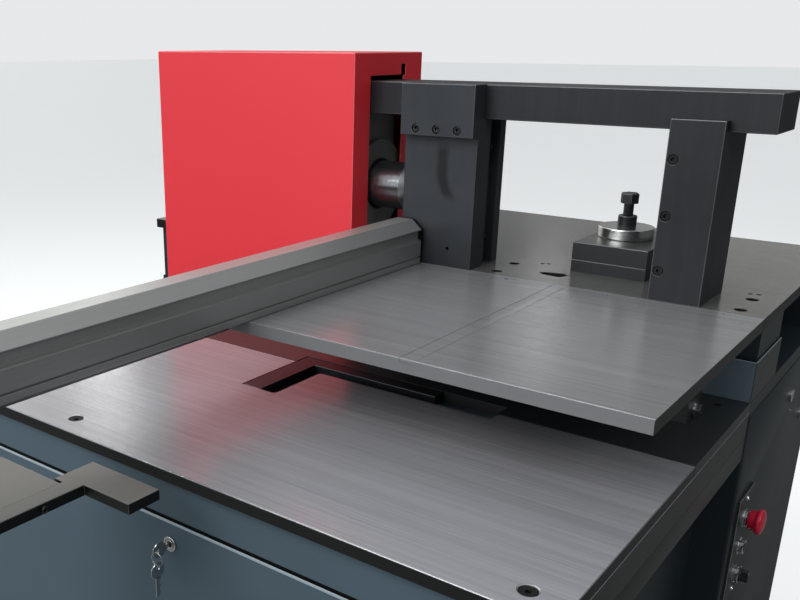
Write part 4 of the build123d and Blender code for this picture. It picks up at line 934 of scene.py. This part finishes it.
# Piston rod and collar: ground and hard chromed, with the tool marks running round it.
# The flange and the gland are of cast iron, painted lighter as painted light against the
# cover's shadow, and a black rubber wiper in the gland keeps the rod clean.
chrome = Finish("rod_chrome_finish", metallic=0.9)
rod_mark = chrome.grain((2500.0, 14.0, 14.0))
chrome.feed(
    base_color=chrome.blend(rod_mark, (0.11, 0.12, 0.13), (0.22, 0.23, 0.24)),
    roughness=0.12 + 0.10 * rod_mark,
    normal=chrome.bump(rod_mark, 0.00020, 0.9),
)
chrome.onto("piston_rod")
collar_steel = Finish("collar_finish", metallic=1.0)
collar_mark = collar_steel.grain((1800.0, 30.0, 30.0))
collar_steel.feed(
    base_color=collar_steel.blend(collar_mark, (0.44, 0.44, 0.44), (0.56, 0.56, 0.56)),
    roughness=0.30 + 0.15 * collar_mark,
)
collar_steel.onto("rod_collar")
wiper_r = 0.0455
gland_painted_light_finish = Finish("gland_painted_light_finish", metallic=0.3)
wiper = gland_painted_light_finish.reach("Y", "Z", middle("gland")).below(wiper_r, 0.0006)
gland_painted_light_finish.feed(
    base_color=gland_painted_light_finish.blend(wiper, (0.13, 0.138, 0.128), (0.004, 0.004, 0.004)),
    roughness=0.36 + 0.3 * wiper + 0.1 * gland_painted_light_finish.noise(50.0, 3.0),
)
gland_painted_light_finish.onto("gland")
# Painted light: the flange is lighter to make up for the cover's shadow.
flange_painted_light = Finish("flange_painted_light_finish", metallic=0.3)
flange_cloud = flange_painted_light.noise(14.0, 5.0, 0.6)
flange_painted_light.feed(
    base_color=flange_painted_light.blend(flange_cloud, (0.13, 0.14, 0.125), (0.18, 0.19, 0.17)),
    roughness=0.40 + 0.2 * flange_cloud,
)
flange_painted_light.onto("cylinder_flange")
ease(0.0007, "cylinder_flange", segments=1)
ease(0.0008, "gland", "rod_collar")
tank = even_finish("tank_finish", (0.10, 0.13, 0.16), 0.4, 0.2, 12.0, 4.0)
tank.onto("oil_tank", "cylinder_barrel")

# Die set: two ground blocks with blackened sides, a turned steel disc, and a black
# clamp sleeve and hexagon stud that hold the bending tool down.
die_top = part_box("die_block")[1].z
die_steel = Finish("die_block_finish")
die_side = die_steel.along("Z").below(die_top - edge_break)
die_grain = die_steel.grain((9.0, 1400.0, 200.0))
die_cloud = die_steel.noise(14.0, 5.0, 0.6)
die_tone = 0.5 * die_grain + 0.5 * die_cloud
die_steel.feed(
    base_color=die_steel.blend(
        die_side,
        die_steel.blend(die_tone, (0.17, 0.17, 0.167), (0.26, 0.26, 0.255)),
        die_steel.blend(die_cloud, (0.008, 0.009, 0.011), (0.016, 0.018, 0.021)),
    ),
    metallic=1.0 - 0.7 * die_side,
    roughness=0.26 + 0.14 * die_cloud + 0.08 * die_side,
    normal=die_steel.bump(die_grain, 0.00003, 0.7),
)
die_steel.onto("die_block")
black_steel.onto("die_base", "clamp_sleeve")
ease(0.0008, "die_block", "die_base", segments=1, rim=rubbed)
ease(0.0010, "clamp_sleeve", rim=rubbed)
turning_pitch = 0.0011
disc_steel = Finish("round_die_finish", metallic=1.0)
disc_r = disc_steel.reach("X", "Y", middle("round_die"))
disc_ring = disc_steel.maths("SINE", disc_r * (2 * math.pi / turning_pitch))
disc_side_mark = disc_steel.grain((16.0, 16.0, 2200.0))
disc_steel.feed(
    base_color=disc_steel.blend(disc_side_mark, (0.54, 0.54, 0.53), (0.70, 0.70, 0.69)),
    roughness=0.20 + 0.12 * disc_side_mark,
    normal=disc_steel.bump(0.5 * disc_ring + disc_side_mark, 0.00001, 0.8),
)
disc_steel.onto("round_die")
ease(0.0012, "round_die")
stud_head = 0.020
stud_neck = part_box("clamp_stud")[1].z - stud_head
stud_pitch = 0.00175
stud_finish = Finish("clamp_stud_finish", metallic=0.5, base_color=(0.030, 0.032, 0.034, 1.0))
stud_z = stud_finish.along("Z")
stud_thread = stud_finish.maths("SINE", stud_z * (2 * math.pi / stud_pitch))
stud_finish.feed(
    roughness=0.30 + 0.2 * stud_finish.noise(120.0, 3.0),
    normal=stud_finish.bump(stud_thread * stud_z.below(stud_neck, 0.0005), 0.0004),
)
stud_finish.onto("clamp_stud")
ease(0.0009, "clamp_stud", rim=rubbed)

# Gauge beam: a hollow aluminium extrusion, anodised grey, with die lines along it,
# closed at both ends by thin black caps held by countersunk screws.
anodised = Finish("anodised_finish", metallic=0.72)
die_lines = anodised.grain((900.0, 1.5, 900.0))
anodised_cloud = anodised.noise(4.0, 4.0)
anodised.feed(
    base_color=anodised.blend(die_lines, (0.36, 0.36, 0.35), (0.46, 0.46, 0.45)),
    roughness=0.30 + 0.10 * die_lines + 0.08 * anodised_cloud,
    normal=anodised.bump(die_lines, 0.00002, 0.5),
)
anodised.onto("gauge_beam")
ease(0.0010, "gauge_beam")
cap_black = even_finish(
    "beam_cap_finish", (0.004, 0.004, 0.004), 0.45, 0.2, 200.0, specular_ior_level=0.12
)
cap_black.onto("beam_caps")
ease(0.0008, "beam_caps", segments=1)
cap_low, cap_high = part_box("beam_caps")
cap_screw_r = 0.0035
cap_screw_inset = 0.013
cap_screws = bmesh.new()
cap_screw_head = [
    (0.0, 0.0002),
    (0.0012, 0.0002),
    (0.0016, 0.0008),
    (cap_screw_r - 0.0006, 0.0008),
    (cap_screw_r, 0.0),
    (cap_screw_r, -0.001),
]
for face_y, outward in ((cap_low.y, -1), (cap_high.y, 1)):
    for x in (cap_low.x + cap_screw_inset, cap_high.x - cap_screw_inset):
        for z in (cap_low.z + cap_screw_inset, cap_high.z - 2 * cap_screw_inset):
            turn(cap_screws, cap_screw_head, (x, face_y, z), (0, outward, 0), steps=20)
make_piece("cap_screws", cap_screws, "frame", "bright_steel", bright)

# Gauge arm, stop finger, carriage and rail: tool steel, ground on top and left black
# on their edges. They slide together along the beam.
arm_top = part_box("gauge_arm")[1].z
arm_break = 0.0008
arm_steel = Finish("gauge_arm_finish")
arm_edge = arm_steel.along("Z").below(arm_top - arm_break)
arm_grain = arm_steel.grain((1200.0, 9.0, 200.0))
arm_cloud = arm_steel.noise(9.0, 5.0, 0.6)
arm_tone = 0.5 * arm_grain + 0.5 * arm_cloud
arm_light = arm_steel.blend(arm_tone, (0.105, 0.102, 0.096), (0.185, 0.181, 0.171))
arm_steel.feed(
    base_color=arm_steel.blend(arm_edge, arm_light, (0.010, 0.010, 0.010)),
    metallic=0.8 - 0.4 * arm_edge,
    roughness=0.32 + 0.12 * arm_cloud,
    normal=arm_steel.bump(arm_grain, 0.00004, 0.8),
)
arm_steel.onto("gauge_arm", "stop_finger")
arm_rim = even_finish("arm_rim_finish", (0.26, 0.26, 0.25), 0.30, 0.1, 60.0, metallic=0.7)
ease(0.0004, "gauge_arm", "stop_finger", segments=1, rim=arm_rim)
rail_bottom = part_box("gauge_hanger")[0].z
rail_steel = ground_steel(
    "gauge_rail_finish", (0.34, 0.33, 0.315), (0.22, 0.215, 0.205), 0.22, 0.6, rail_bottom
)
rail_steel.onto("gauge_carriage", "gauge_hanger", "gauge_rail")
ease(0.0006, "gauge_carriage", "gauge_hanger", "gauge_rail", segments=1)

# Pump motor and valve block, standing behind the door: cast aluminium, sprayed with a
# grey machine paint that keeps some of the metal's shine.
motor = Finish("motor_finish", metallic=0.4, base_color=(0.20, 0.22, 0.24, 1.0))
motor.feed(
    roughness=0.45 + 0.2 * motor.noise(40.0, 4.0),
    normal=motor.bump(motor.noise(500.0, 3.0), 0.0001, 0.5),
)
motor.onto("pump_motor", "valve_block")
ease(0.0010, "valve_block", "oil_tank")

seen_low, seen_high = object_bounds()
corners = {
    "cad": [list(cad_low), list(cad_high)],
    "seen": [list(seen_low), list(seen_high)],
}
